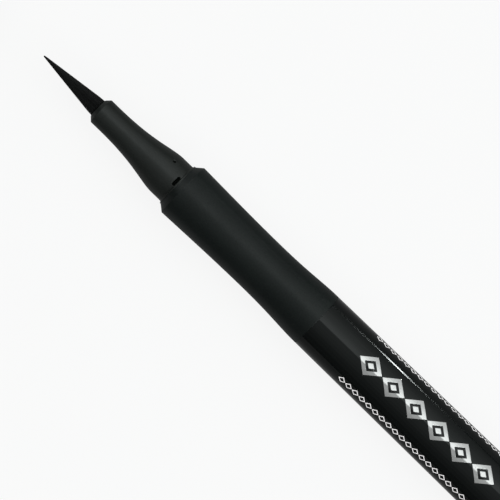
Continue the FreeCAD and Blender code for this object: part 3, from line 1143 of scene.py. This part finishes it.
@dataclass
class NibHolder(SubAssembly):
    """Front piece: bevelled mouth, nose, flare, collar and base flange, with two vents.

    Attributes:
        front: Station of the mouth.
        bore: Radius of the brush's bore.
        nose: Radius of the nose.
        bevel_land: Width of the flat lip inside the mouth's bevel.
        lip_edge: Edge radius of the lip.
        nose_edge: Edge radius behind the bevel.
        flare_start: Station where the flare begins.
        flare_end: Station where the flare ends.
        flare_shares: Shares of the flare's length that its curve leaves and arrives along.
        collar: Radius of the collar.
        collar_end: Station where the base fillet begins.
        fillet: Radius of the base fillet.
        base: Station of the seat on the grip.
        spigot: Radius and end station of the rear spigot.
        spigot_edge: Edge radius of the spigot's end.
        rear_bore: Radius and front station of the rear bore.
        pocket: Radius and front station of the ferrule's pocket.
        hole: Round vent.
        slot: Slotted vent.
        vent_depth: Depth of the vents that shows.
        vent_limit: Share of the base fillet that a vent may reach into.
        fine_lead: Distance ahead of the round vent from which the rows stand close.
        rows: Rows along the flare up to there, along the rest of it, the collar and the fillet.
        fine_turns: Turns in degrees between which the columns stand close.
        columns: Columns between those turns and round the rest.
    """

    front: float = BrushTip.reach
    bore: float = 1.68
    nose: float = 2.4
    bevel_land: float = 0.05
    lip_edge: float = 0.02
    nose_edge: float = 0.14
    flare_start: float = 14.65
    flare_end: float = 27.35
    flare_shares: Pair = (0.6, 0.2)
    collar: float = 3.72
    collar_end: float = 29.2
    fillet: float = 0.3
    base: float = 29.7
    spigot: Pair = (3.26, 36.2)
    spigot_edge: float = 0.1
    rear_bore: Pair = (2.66, 23.7)
    pocket: Pair = (1.98, 16.4)
    hole: Vent = Vent(26.75, 40.0, 0.0, 0.28)
    slot: Vent = Vent(29.1, 4.5, 0.6, 0.3)
    vent_depth: float = 1.0
    vent_limit: float = 0.9
    fine_lead: float = 0.5
    rows: tuple[int, int, int, int] = (60, 28, 46, 14)
    fine_turns: Pair = (-13.0, 47.0)
    columns: tuple[int, int] = (101, 101)

    def flare(self) -> Array:
        """Points of the flare: a cubic that runs along the axis at both ends."""
        length = self.flare_end - self.flare_start
        leave, arrive = self.flare_shares
        curve = bezier(
            (self.flare_start, self.nose),
            (self.flare_start + leave * length, self.nose),
            (self.flare_end - arrive * length, self.collar),
            (self.flare_end, self.collar),
        )
        fine = self.hole.station - self.fine_lead
        wide = np.linspace(self.flare_start, fine, self.rows[0])
        close = np.linspace(fine, self.flare_end, self.rows[1])[1:]
        return at_stations(curve, np.concatenate([wide, close]))

    def outline(self) -> Array:
        """Closed half outline with its edges rounded; the base fillet is a quarter circle."""
        lip = self.bore + self.bevel_land
        level = np.linspace(self.flare_end, self.collar_end, self.rows[2])[1:]
        turn = np.linspace(0.0, 0.5 * np.pi, self.rows[3])[1:]
        sweep = np.stack([np.sin(turn), 1 - np.cos(turn)], axis=-1) * self.fillet
        drawn = Outline().to(self.front, self.bore, self.lip_edge).to(self.front, lip, self.lip_edge)
        drawn.to(self.front + self.nose - lip, self.nose, self.nose_edge).along(self.flare())
        drawn.along(np.stack([level, np.full_like(level, self.collar)], axis=-1))
        drawn.along(sweep + [self.collar_end, self.collar])
        drawn.to(self.base, self.collar + self.fillet).to(self.base, self.spigot[0])
        drawn.to(self.spigot[1], self.spigot[0], self.spigot_edge).to(self.spigot[1], self.rear_bore[0])
        drawn.to(self.rear_bore[1], self.rear_bore[0]).to(self.rear_bore[1], self.pocket[0])
        drawn.to(self.pocket[1], self.pocket[0]).to(self.pocket[1], self.bore)
        return drawn.rounded()

    def angles(self) -> Array:
        """Columns that stand close together across the vents and wide apart elsewhere."""
        first, last = self.fine_turns
        close = np.linspace(first, last, self.columns[0])
        wide = np.linspace(last, first + 360.0, self.columns[1])[1:-1]
        return np.radians(np.concatenate([close, wide]))

    def vents(self, outline: Array, angles: Array) -> Array:
        """Depth of the vents, on the outside of the flare and collar alone.

        Args:
            outline: Rows of station and radius.
            angles: Turns of the columns.

        Returns:
            Depth at each point of the grid.
        """
        station, radius = outline[:, :1], outline[:, 1:]
        wells = [
            vent.well(station, self.collar * (angles[None, :] - np.radians(vent.turn)))
            for vent in (self.hole, self.slot)
        ]
        outside = (radius > self.spigot[0]) & (station < self.collar_end + self.vent_limit * self.fillet)
        return np.where(outside, self.vent_depth * np.maximum(*wells), 0.0)

    def build(self) -> None:
        """Makes the holder with its vents sunk into it."""
        outline, angles = self.outline(), self.angles()
        surface = turned(outline, self.lie, angles, self.vents(outline, angles))
        self.add("holder_shell", surface, FINISHES.holder, "nib_holder")


@dataclass
class GripSection(SubAssembly):
    """Waisted matt section with a bevelled front rim and the barrel's spigot.

    Attributes:
        front: Station and radius of the front face's edge.
        rim: Station and radius of the front rim.
        rim_edge: Edge radius of the front rim.
        waist: Station and radius of the waist.
        rear: Station and radius of the rear edge.
        rear_edge: Edge radius of the rear edge.
        front_shares: Leave, drop and arrive shares of the front curve.
        rear_shares: Leave and arrive shares of the rear curve.
        curve_margins: Distances that the curves keep from the rim and from the rear edge.
        curve_rows: Rows along each curve.
        bore: Radius of the bore.
        stop: Station and radius of the collector's stop.
        spigot: Radius and end station of the spigot.
        spigot_edge: Edge radius of the spigot's end.
        groove: Station, half width and bottom radius of the seal's groove.
        columns: Columns round the grip.
    """

    front: Pair = (NibHolder.base, 4.02)
    rim: Pair = (30.75, 4.89)
    rim_edge: float = 0.22
    waist: Pair = (48.05, 4.56)
    rear: Pair = (60.45, 5.0)
    rear_edge: float = 0.05
    front_shares: Triple = (0.2, 0.2, 0.4)
    rear_shares: Pair = (0.55, 0.3)
    curve_margins: Pair = (0.6, 0.3)
    curve_rows: int = 60
    bore: float = 3.28
    stop: Pair = (58.6, 2.58)
    spigot: Pair = (4.08, 68.45)
    spigot_edge: float = 0.1
    groove: Triple = (65.45, 0.4, 3.38)
    columns: int = 160

    def waisted(self) -> Array:
        """Points of the outside: two cubics that meet level at the waist."""
        (rim, rim_radius), (waist, waist_radius), (rear, rear_radius) = self.rim, self.waist, self.rear
        leave, drop, arrive = self.front_shares
        fall = bezier(
            self.rim,
            (rim + leave * (waist - rim), rim_radius - drop * (rim_radius - waist_radius)),
            (waist - arrive * (waist - rim), waist_radius),
            self.waist,
        )
        leave, arrive = self.rear_shares
        rise = bezier(
            self.waist,
            (waist + leave * (rear - waist), waist_radius),
            (rear - arrive * (rear - waist), rear_radius),
            self.rear,
        )
        ahead = np.linspace(rim + self.curve_margins[0], waist, self.curve_rows)
        behind = np.linspace(waist, rear - self.curve_margins[1], self.curve_rows)[1:]
        return np.concatenate([at_stations(fall, ahead), at_stations(rise, behind)])

    def build(self) -> None:
        """Makes the grip, turned from a closed half outline."""
        station, half_width, bottom = self.groove
        radius, end = self.spigot
        drawn = Outline().to(self.front[0], self.bore).to(*self.front).to(*self.rim, self.rim_edge)
        drawn.along(self.waisted()).to(*self.rear, self.rear_edge).to(self.rear[0], radius)
        drawn.groove(station, half_width, radius, bottom)
        drawn.to(end, radius, self.spigot_edge).to(end, self.stop[1])
        drawn.to(*self.stop).to(self.stop[0], self.bore)
        self.add("grip_shell", self.turn(drawn, self.columns), FINISHES.grip, "grip_section")


@dataclass
class Barrel(SubAssembly):
    """Gloss tube with a stopper in its tail and a foil ornament.

    Attributes:
        front: Station and radius of the front edge.
        front_edge: Edge radius of the front edge.
        taper_end: Station and radius where the taper ends.
        rear: Station of the rear edge.
        rear_edge: Edge radius where tube and stopper meet.
        bore: Radius of the bore.
        tail_end: Station of the tail's face.
        tail_round: Edge radius of the tail.
        plug: Front station, radius and lead-in of the plug's spigot.
        recess: Radius and end station of the plug's recess.
        recess_edge: Edge radius of the recess's floor.
        groove: Station, half width and bottom radius of the plug's seal groove.
        gate: Radius and depth of the moulding mark in the tail's face.
        foil_run: First and last station of the ornament.
        foil_turns: Turns of the lozenge row and of the chain on either side, in degrees.
        foil_lift: Height of the foil over the lacquer.
        foil_wall: Thickness of the foil.
        lozenges: Number of large lozenges.
        lozenge: Half height and band width of a large lozenge.
        frame_share: Half length of a frame as a share of the pitch.
        kernel_shares: Half length of a small lozenge as a share of the pitch, and half height as a share of
            a large one's.
        links: Number of links in each chain.
        link: Half height and band width of a link.
        side_points: Points along one side of a frame.
        band_shares: Places of the rows across a frame's band, from its inside.
        fill_shares: Places of the rows and columns across a filled lozenge.
        columns: Columns round the tube and round the stopper.
    """

    front: Pair = GripSection.rear
    front_edge: float = 0.05
    taper_end: Pair = (100.45, 5.25)
    rear: float = 127.45
    rear_edge: float = 0.06
    bore: float = 4.1
    tail_end: float = 129.95
    tail_round: float = 0.6
    plug: Triple = (119.45, 4.08, 0.4)
    recess: Pair = (2.78, 125.95)
    recess_edge: float = 0.1
    groove: Triple = (122.45, 0.4, 3.38)
    gate: Pair = (1.1, 0.06)
    foil_run: Pair = (69.0, 98.4)
    foil_turns: Triple = (8.0, -53.0, 71.0)
    foil_lift: float = 0.012
    foil_wall: float = 0.02
    lozenges: int = 6
    lozenge: Pair = (1.9, 0.8)
    frame_share: float = 0.48
    kernel_shares: Pair = (0.14, 0.28)
    links: int = 20
    link: Pair = (0.72, 0.22)
    side_points: int = 8
    band_shares: tuple[float, ...] = (1.0, 0.97, 0.5, 0.03, 0.0)
    fill_shares: tuple[float, ...] = (-0.5, -0.48, -0.25, 0.0, 0.25, 0.48, 0.5)
    columns: tuple[int, int] = (192, 160)

    def tube(self) -> Surface:
        """Tube, turned from a closed half outline."""
        radius = self.taper_end[1]
        drawn = Outline().to(self.front[0], self.bore).to(*self.front, self.front_edge)
        drawn.along(np.array([self.taper_end]))
        drawn.to(self.rear, radius, self.rear_edge).to(self.rear, self.bore)
        return self.turn(drawn, self.columns[0])

    def stopper(self) -> Surface:
        """Tail plug, turned from an outline that starts in its recess and ends at its face."""
        (front, radius, lead), (hollow, floor), outer = self.plug, self.recess, self.taper_end[1]
        station, half_width, bottom = self.groove
        drawn = Outline().to(floor, 0.0, 0.0).to(floor, hollow, self.recess_edge)
        drawn.to(front, hollow).to(front, radius - lead).to(front + lead, radius)
        drawn.groove(station, half_width, radius, bottom)
        drawn.to(self.rear, radius).to(self.rear, outer, self.rear_edge)
        drawn.to(self.tail_end, outer, self.tail_round).along(gate_mark(self.tail_end, *self.gate))
        return self.turn(drawn, self.columns[1])

    def on_skin(self, station: Array, around: Array, turn: float) -> Array:
        """Points on the foil's top, at a height over the tube's straight taper.

        Args:
            station: Stations of the points.
            around: Distances round the tube from the turn.
            turn: Turn of the row in degrees.

        Returns:
            Array of points with a last dimension of three.
        """
        ends, radii = zip(self.front, self.taper_end)
        radius = np.interp(station, ends, radii) + self.foil_lift
        return self.lie.place(station, radius, np.radians(turn) + around / radius)

    def row(self, count: int) -> tuple[Array, float]:
        """Stations of the middles of a row along the ornament, and the distance between them."""
        first, last = self.foil_run
        pitch = (last - first) / count
        middles = first + pitch * (np.arange(count) + 0.5)
        return middles[:, None, None], pitch

    def kernels(self, turn: float) -> Surface:
        """Row of filled lozenges: a square grid turned by an eighth.

        The sum of the grid's two parameters runs along the axis, and their difference round it.

        Args:
            turn: Turn of the row in degrees.

        Returns:
            All the lozenges as one open surface.
        """
        middles, pitch = self.row(self.lozenges)
        length_share, height_share = self.kernel_shares
        half_length, half_height = length_share * pitch, height_share * self.lozenge[0]
        first, second = np.meshgrid(self.fill_shares, self.fill_shares, indexing="ij")
        station = middles + half_length * (first + second)
        return patches(self.on_skin(station, half_height * (second - first), turn))

    def frames(self, count: int, size: Pair, turn: float) -> Surface:
        """Row of lozenge frames: the unit lozenge's edge, scaled from the inner size to the outer one.

        Along a lap of four sides, both coordinates of that edge go evenly up and down between minus one and
        one, and one of them is a side behind the other.

        Args:
            count: Number of frames in the row.
            size: Half height round the tube and band width.
            turn: Turn of the row in degrees.

        Returns:
            All the frames as one open surface.
        """
        middles, pitch = self.row(count)
        half_height, band = size
        lap = np.arange(4 * self.side_points)[:, None] / self.side_points
        edge_along = np.abs((lap + 2.0) % 4.0 - 2.0) - 1.0
        edge_around = np.abs((lap + 3.0) % 4.0 - 2.0) - 1.0
        scale = 1.0 - band / half_height * np.array(self.band_shares)
        station = middles + self.frame_share * pitch * edge_along * scale
        return patches(self.on_skin(station, half_height * edge_around * scale, turn), wrap_rows=True)

    def ornament(self) -> Surface:
        """Row of framed lozenges with a small one in each, and a fine chain on either side."""
        middle, near, far = self.foil_turns
        return Surface.joined([
            self.frames(self.lozenges, self.lozenge, middle),
            self.kernels(middle),
            self.frames(self.links, self.link, near),
            self.frames(self.links, self.link, far),
        ])

    def build(self) -> None:
        """Makes the tube, the stopper and the foil."""
        self.add("barrel_tube", self.tube(), FINISHES.gloss, "barrel")
        self.add("tail_stopper", self.stopper(), FINISHES.gloss, "tail_plug")
        foil = self.add("barrel_foil", self.ornament(), FINISHES.foil)
        wall = foil.modifiers.new("foil_wall", "SOLIDIFY")
        wall.thickness = self.foil_wall * MM
        wall.offset = -1.0


@dataclass
class Cap(SubAssembly):
    """Gloss cap: a tube with a lip inside, closed by a crown.

    Attributes:
        seat: Station of the crown's seat.
        seat_edge: Edge radius where tube and crown meet.
        mouth: Station of the mouth.
        radius: Outer radius.
        chamber: Radius of the inner cap's chamber.
        lip: Front station, rear station and radius of the stop lip.
        bore: Radius of the mouth's bore.
        lead_in: Size of the mouth's inner bevel.
        lead_edge: Edge radius of that bevel.
        mouth_round: Edge radius of the mouth.
        top: Station of the crown's face.
        crown_round: Edge radius of the crown.
        sleeve: Outer radius, inner radius and end station of the crown's sleeve.
        gate: Radius and depth of the moulding mark in the crown's face.
        columns: Columns round the cap.
    """

    seat: float = -6.9
    seat_edge: float = 0.06
    mouth: float = 29.6
    radius: float = GripSection.rim[1]
    chamber: float = 3.784
    lip: Triple = (22.02, 22.72, 3.364)
    bore: float = 3.8
    lead_in: float = 0.42
    lead_edge: float = 0.08
    mouth_round: float = 0.2
    top: float = -8.5
    crown_round: float = 0.7
    sleeve: Triple = (3.764, 3.064, -4.6)
    gate: Pair = Barrel.gate
    columns: int = 160

    def shell(self) -> Surface:
        """Tube, turned from a closed half outline."""
        lip_front, lip_end, lip_radius = self.lip
        drawn = Outline().to(self.seat, self.chamber).to(self.seat, self.radius, self.seat_edge)
        drawn.to(self.mouth, self.radius, self.mouth_round)
        drawn.to(self.mouth, self.bore + self.lead_in, self.lead_edge)
        drawn.to(self.mouth - self.lead_in, self.bore).to(lip_end, self.bore)
        drawn.to(lip_end, lip_radius).to(lip_front, lip_radius).to(lip_front, self.chamber)
        return self.turn(drawn, self.columns)

    def crown(self) -> Surface:
        """End plug, turned from its face round to its inner floor."""
        outer, inner, end = self.sleeve
        radius, depth = self.gate
        drawn = Outline().along(gate_mark(self.top, radius, -depth)[::-1])
        drawn.to(self.top, self.radius, self.crown_round).to(self.seat, self.radius, self.seat_edge)
        drawn.to(self.seat, outer).to(end, outer).to(end, inner)
        drawn.to(self.seat, inner).to(self.seat, 0.0, 0.0)
        return self.turn(drawn, self.columns)

    def build(self) -> None:
        """Makes the tube and the crown."""
        self.add("cap_tube", self.shell(), FINISHES.cap, "cap_shell")
        self.add("cap_end", self.crown(), FINISHES.cap, "cap_crown")


@dataclass
class CapSpring(SubAssembly):
    """Coil spring that flattens as the inner cap is pushed in.

    Attributes:
        seat: Station of the crown's face that it stands on.
        length: Length between its seats.
        end_gap: Gap to each seat.
        coil_radius: Radius of the coil's middle line.
        wire_radius: Radius of the wire.
        wire_sides: Corners round the wire.
        turns: Number of turns.
        turn_points: Points along each turn.
        start_turn: Turn of the wire's first end in degrees.
        stroke: Travel of the inner cap.
    """

    seat: float = Cap.seat
    length: float = 4.2
    end_gap: float = 0.05
    coil_radius: float = 2.2
    wire_radius: float = 0.2
    wire_sides: int = 14
    turns: int = 4
    turn_points: int = 48
    start_turn: float = 90.0
    stroke: float = 1.2

    def coil(self) -> Surface:
        """Round wire along a helix: the angle grows evenly with the station."""
        share = np.linspace(0.0, 1.0, self.turns * self.turn_points + 1)[None, :]
        start = self.seat + self.end_gap + self.wire_radius
        rise = self.length - 2 * (self.end_gap + self.wire_radius)
        angle = np.radians(self.start_turn) - 2 * np.pi * self.turns * share
        centres = self.lie.place(start + rise * share, self.coil_radius, angle)
        outward, sideways = directions(angle)
        heading = rise * AXIS - 2 * np.pi * self.turns * self.coil_radius * sideways
        heading = heading / np.linalg.norm(heading, axis=-1, keepdims=True)
        radius = np.full(angle.shape, self.wire_radius)
        return tubes(centres, outward, np.cross(outward, heading), radius, self.wire_sides)

    def build(self) -> None:
        """Makes the wire."""
        wire = self.add("cap_spring_wire", self.coil(), FINISHES.spring, "inner_cap_spring")
        anchor = self.lie.place(np.array(self.seat), np.array(0.0), np.array(0.0)) * MM
        keep = (self.length - self.stroke) / self.length
        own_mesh(wire)


@dataclass
class InnerCap(SubAssembly):
    """Cup over the brush, with a guiding rim, a gasket and a boss for the spring.

    Attributes:
        boss: Front station and radius of the boss.
        boss_edge: Edge radius of the boss.
        end: Station of the end wall's outside.
        end_edge: Edge radius of the end wall.
        end_inside: Station of the end wall's inside.
        inside_edge: Edge radius of the end wall's inside.
        radius: Outer radius of the cup.
        rim: Front station, end station and radius of the rim.
        rim_edges: Edge radii of the rim's front and end.
        bore: Radius of the cup's bore.
        gasket: Front station and outer radius of the gasket.
        gasket_edge: Edge radius of the gasket.
        gasket_gap: Clearance round the gasket.
        columns: Columns round the cup and the gasket.
    """

    boss: Pair = (-3.7, 1.5)
    boss_edge: float = 0.15
    end: float = -2.7
    end_edge: float = 0.2
    end_inside: float = -1.8
    inside_edge: float = 0.3
    radius: float = 3.504
    rim: Triple = (20.77, 21.97, 3.704)
    rim_edges: Pair = (0.1, 0.06)
    bore: float = 2.954
    gasket: Pair = (21.17, 3.354)
    gasket_edge: float = 0.08
    gasket_gap: float = 0.02
    columns: int = 128

    def cup(self) -> Surface:
        """Cup, turned from the boss round the rim to the inside of its end."""
        (front, end, radius), (front_edge, end_edge) = self.rim, self.rim_edges
        seat, groove = self.gasket[0], self.gasket[1] + self.gasket_gap
        drawn = Outline().to(self.boss[0], 0.0, 0.0).to(*self.boss, self.boss_edge)
        drawn.to(self.end, self.boss[1]).to(self.end, self.radius, self.end_edge)
        drawn.to(front, self.radius).to(front, radius, front_edge).to(end, radius, end_edge)
        drawn.to(end, groove).to(seat, groove).to(seat, self.bore)
        drawn.to(self.end_inside, self.bore, self.inside_edge).to(self.end_inside, 0.0, 0.0)
        return self.turn(drawn, self.columns)

    def ring(self) -> Surface:
        """Gasket, turned from a closed half outline with soft edges."""
        (front, radius), end, bore = self.gasket, self.rim[1], self.bore
        drawn = Outline()
        for corner in ((front, bore), (front, radius), (end, radius), (end, bore)):
            drawn.to(*corner, self.gasket_edge)
        return self.turn(drawn, self.columns)

    def build(self) -> None:
        """Makes the cup and the gasket."""
        self.add("inner_cup", self.cup(), FINISHES.inner_cap, "inner_cap")
        self.add("gasket_ring", self.ring(), FINISHES.seal, "inner_cap_gasket")


@dataclass(frozen=True)
class Inside:
    """Inner pieces that keep their CAD shape and get a finish.

    Attributes:
        finishes: Names of the nodes with their finishes.
    """

    finishes: tuple[tuple[str, Finish], ...] = (
        ("tuft_ferrule", FINISHES.inner),
        ("nib_retainer", FINISHES.inner),
        ("feed_wick", FINISHES.wick),
        ("collector", FINISHES.inner),
        ("collector_seal", FINISHES.seal),
        ("barrel_seal", FINISHES.seal),
        ("tail_seal", FINISHES.seal),
        ("mixing_balls", FINISHES.ball),
    )

    def dress(self) -> None:
        """Puts its finish on each node and logs it."""
        for name, finish in self.finishes:
            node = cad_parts[name]
            node.data.materials.clear()
            node.data.materials.append(material_of(finish))
            log.info("%s: CAD shape, %s", name, finish.name)


# Studio, with lengths in metres where nothing else is said


@dataclass(frozen=True)
class Lamp:
    """Soft rectangular lamp over the pen, turned towards it.

    Attributes:
        name: Name of the lamp.
        bearing: Side that it hangs on, in degrees from +Y towards -X.
        lean: Degrees from overhead towards that side.
        distance: Distance from the pen.
        length: Level size.
        width: Size of the leaning side.
        radiance: Brightness of its face, where one is white.
        offset: Shift along the pen.
        tint: Colour of its light.
    """

    name: str
    bearing: float
    lean: float
    distance: float
    length: float
    width: float
    radiance: float
    offset: float = 0.005
    tint: Colour = (0.93, 1.0, 0.985)

    def hang(self) -> None:
        """Makes the lamp; its power is the radiance times its area times pi."""
        light = bpy.data.lights.new(self.name, "AREA")
        light.shape = "RECTANGLE"
        light.size, light.size_y = self.length, self.width
        light.energy = self.radiance * math.pi * self.length * self.width
        light.color = self.tint
        lamp = bpy.data.objects.new(self.name, light)
        lean, bearing = math.radians(self.lean), math.radians(self.bearing)
        reach = self.distance * math.sin(lean)
        lamp.location = (
            self.offset - reach * math.sin(bearing),
            reach * math.cos(bearing),
            self.distance * math.cos(lean),
        )
        lamp.rotation_euler = (-lean, 0.0, bearing)
        lamp.visible_camera = False
        bpy.context.collection.objects.link(lamp)


@dataclass(frozen=True)
class StripBank:
    """Bank of soft strips along the pen that arches over it, dim on one side and bright on the other.

    Attributes:
        edges: Directions of the strips' edges, in degrees from overhead towards +Y.
        radiances: Brightness of each strip.
        distance: Distance from the pen.
        length: Length of the strips.
    """

    edges: tuple[float, ...] = (-60, -45, -33, -22, -10, 6.5, 14, 22, 30, 38, 46, 54, 63, 72, 85)
    radiances: tuple[float, ...] = (
        0.05, 0.09, 0.16, 0.21, 0.25, 0.89, 0.84, 0.70, 0.57, 0.49, 0.44, 0.33, 0.25, 0.20,
    )
    distance: float = 0.8
    length: float = 1.6

    def hang(self) -> None:
        """Hangs the strips edge to edge.

        A strip's width is twice the distance times the tangent of half its angle.
        """
        for number, radiance in enumerate(self.radiances):
            first, last = self.edges[number : number + 2]
            width = 2 * self.distance * math.tan(math.radians(last - first) / 2)
            lean = (first + last) / 2
            Lamp(f"strip_{number}", 0.0, lean, self.distance, self.length, width, radiance).hang()


@dataclass(frozen=True)
class Studio:
    """Pale floor, soft lamps and the camera.

    Attributes:
        floor_half: Half width of the floor.
        floor_drop: Depth of the floor below the pen, in millimetres.
        floor_colour: Colour of the floor.
        floor_glow: Share of plain white that the floor shows.
        world: Brightness of the surroundings.
        bank: Strips over the pen.
        lamps: Boxes off its two ends, and a small lamp low on one side.
        aim: Point on the axis plane at the middle of the picture, in millimetres.
        roll: Turn of the camera in degrees.
        distance: Distance of the camera from the axis plane.
        picture_width: Width of the picture on the axis plane.
    """

    floor_half: float = 8.0
    floor_drop: float = 0.02
    floor_colour: Colour = (0.9, 0.9, 0.9)
    floor_glow: float = 0.87
    world: float = 0.08
    bank: StripBank = StripBank()
    lamps: tuple[Lamp, ...] = (
        Lamp("front_box", 70.0, 80.0, distance=1.2, length=1.2, width=0.5, radiance=3.0),
        Lamp("tail_box", -90.0, 50.0, distance=1.2, length=1.4, width=0.8, radiance=2.6),
        Lamp("glint", 0.0, 85.5, distance=0.6, length=0.006, width=0.05, radiance=140.0, offset=0.0697),
    )
    aim: Triple = (5.365, 0.59, 5.25)
    roll: float = 44.06
    distance: float = 0.45
    picture_width: float = 0.0796

    def lay_floor(self) -> None:
        """Flat square with a soft shadow, partly plain white to the camera, in gloss and through glass."""
        half = self.floor_half / MM
        side = np.array([-half, half])
        across, along = np.meshgrid(side, side, indexing="ij")
        points = np.stack([across, along, np.full_like(across, -self.floor_drop)], axis=-1)
        floor = patches(points[None]).to_object("floor")
        tree = Tree("pale_floor")
        tree.nodes.remove(tree.shader)
        matt = tree.node("ShaderNodeBsdfDiffuse", {}, {"Color": rgba(self.floor_colour)})
        white = tree.node("ShaderNodeEmission", {}, {"Color": (1.0, 1.0, 1.0, 1.0), "Strength": 1.0})
        camera = tree.node("ShaderNodeLightPath", output="Is Camera Ray")
        gloss = tree.node("ShaderNodeLightPath", output="Is Glossy Ray")
        glass = tree.node("ShaderNodeLightPath", output="Is Transmission Ray")
        seen = self.floor_glow * (camera + gloss + glass)
        mixed = tree.node("ShaderNodeMixShader", {}, {0: seen, 1: matt, 2: white})
        tree.feed(tree.output.inputs["Surface"], mixed)
        floor.data.materials.append(tree.material)

    def light(self) -> None:
        """Hangs the lamps and sets the surroundings."""
        world = bpy.data.worlds.new("studio")
        world.use_nodes = True
        shade = world.node_tree.nodes["Background"]
        shade.inputs["Color"].default_value = (self.world, self.world, self.world, 1.0)
        bpy.context.scene.world = world
        self.bank.hang()
        for lamp in self.lamps:
            lamp.hang()

    def aim_camera(self) -> None:
        """Camera that looks straight down, turned so that the pen lies from upper left to lower right."""
        data = bpy.data.cameras.new("camera")
        data.lens = data.sensor_width * self.distance / self.picture_width
        camera = bpy.data.objects.new("camera", data)
        camera.location = (self.aim[0] * MM, self.aim[1] * MM, self.aim[2] * MM + self.distance)
        camera.rotation_euler = (0.0, 0.0, math.radians(self.roll))
        bpy.context.collection.objects.link(camera)
        bpy.context.scene.camera = camera

    def set_up(self) -> None:
        """Makes the whole studio."""
        bpy.context.scene.view_settings.view_transform = "Standard"
        self.lay_floor()
        self.light()
        self.aim_camera()


def write_sizes() -> None:
    """Brings the view layer up to date."""
    bpy.context.view_layer.update()


def main() -> None:
    """Builds and dresses the pen, its cap and the studio."""
    logging.basicConfig(level=logging.INFO, format="%(name)s: %(message)s")
    tip, tube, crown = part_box("brush_tuft")[0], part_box("barrel"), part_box("cap_crown")[0]
    height = (tube[0][2] + tube[1][2]) / (2 * MM)
    pen = Lie(tip[0] / MM, height)
    cap = Lie(crown[0] / MM - Cap.top, height)
    assemblies: list[SubAssembly] = [
        BrushTip(pen, Body.PEN),
        NibHolder(pen, Body.PEN),
        GripSection(pen, Body.PEN),
        Barrel(pen, Body.PEN),
        Cap(cap, Body.CAP),
        CapSpring(cap, Body.CAP),
        InnerCap(cap, Body.INNER_CAP),
    ]
    for assembly in assemblies:
        assembly.build()
        assembly.dress()
        assembly.report()
    Inside().dress()
    Studio().set_up()
    write_sizes()


if __name__ == "__main__":
    main()
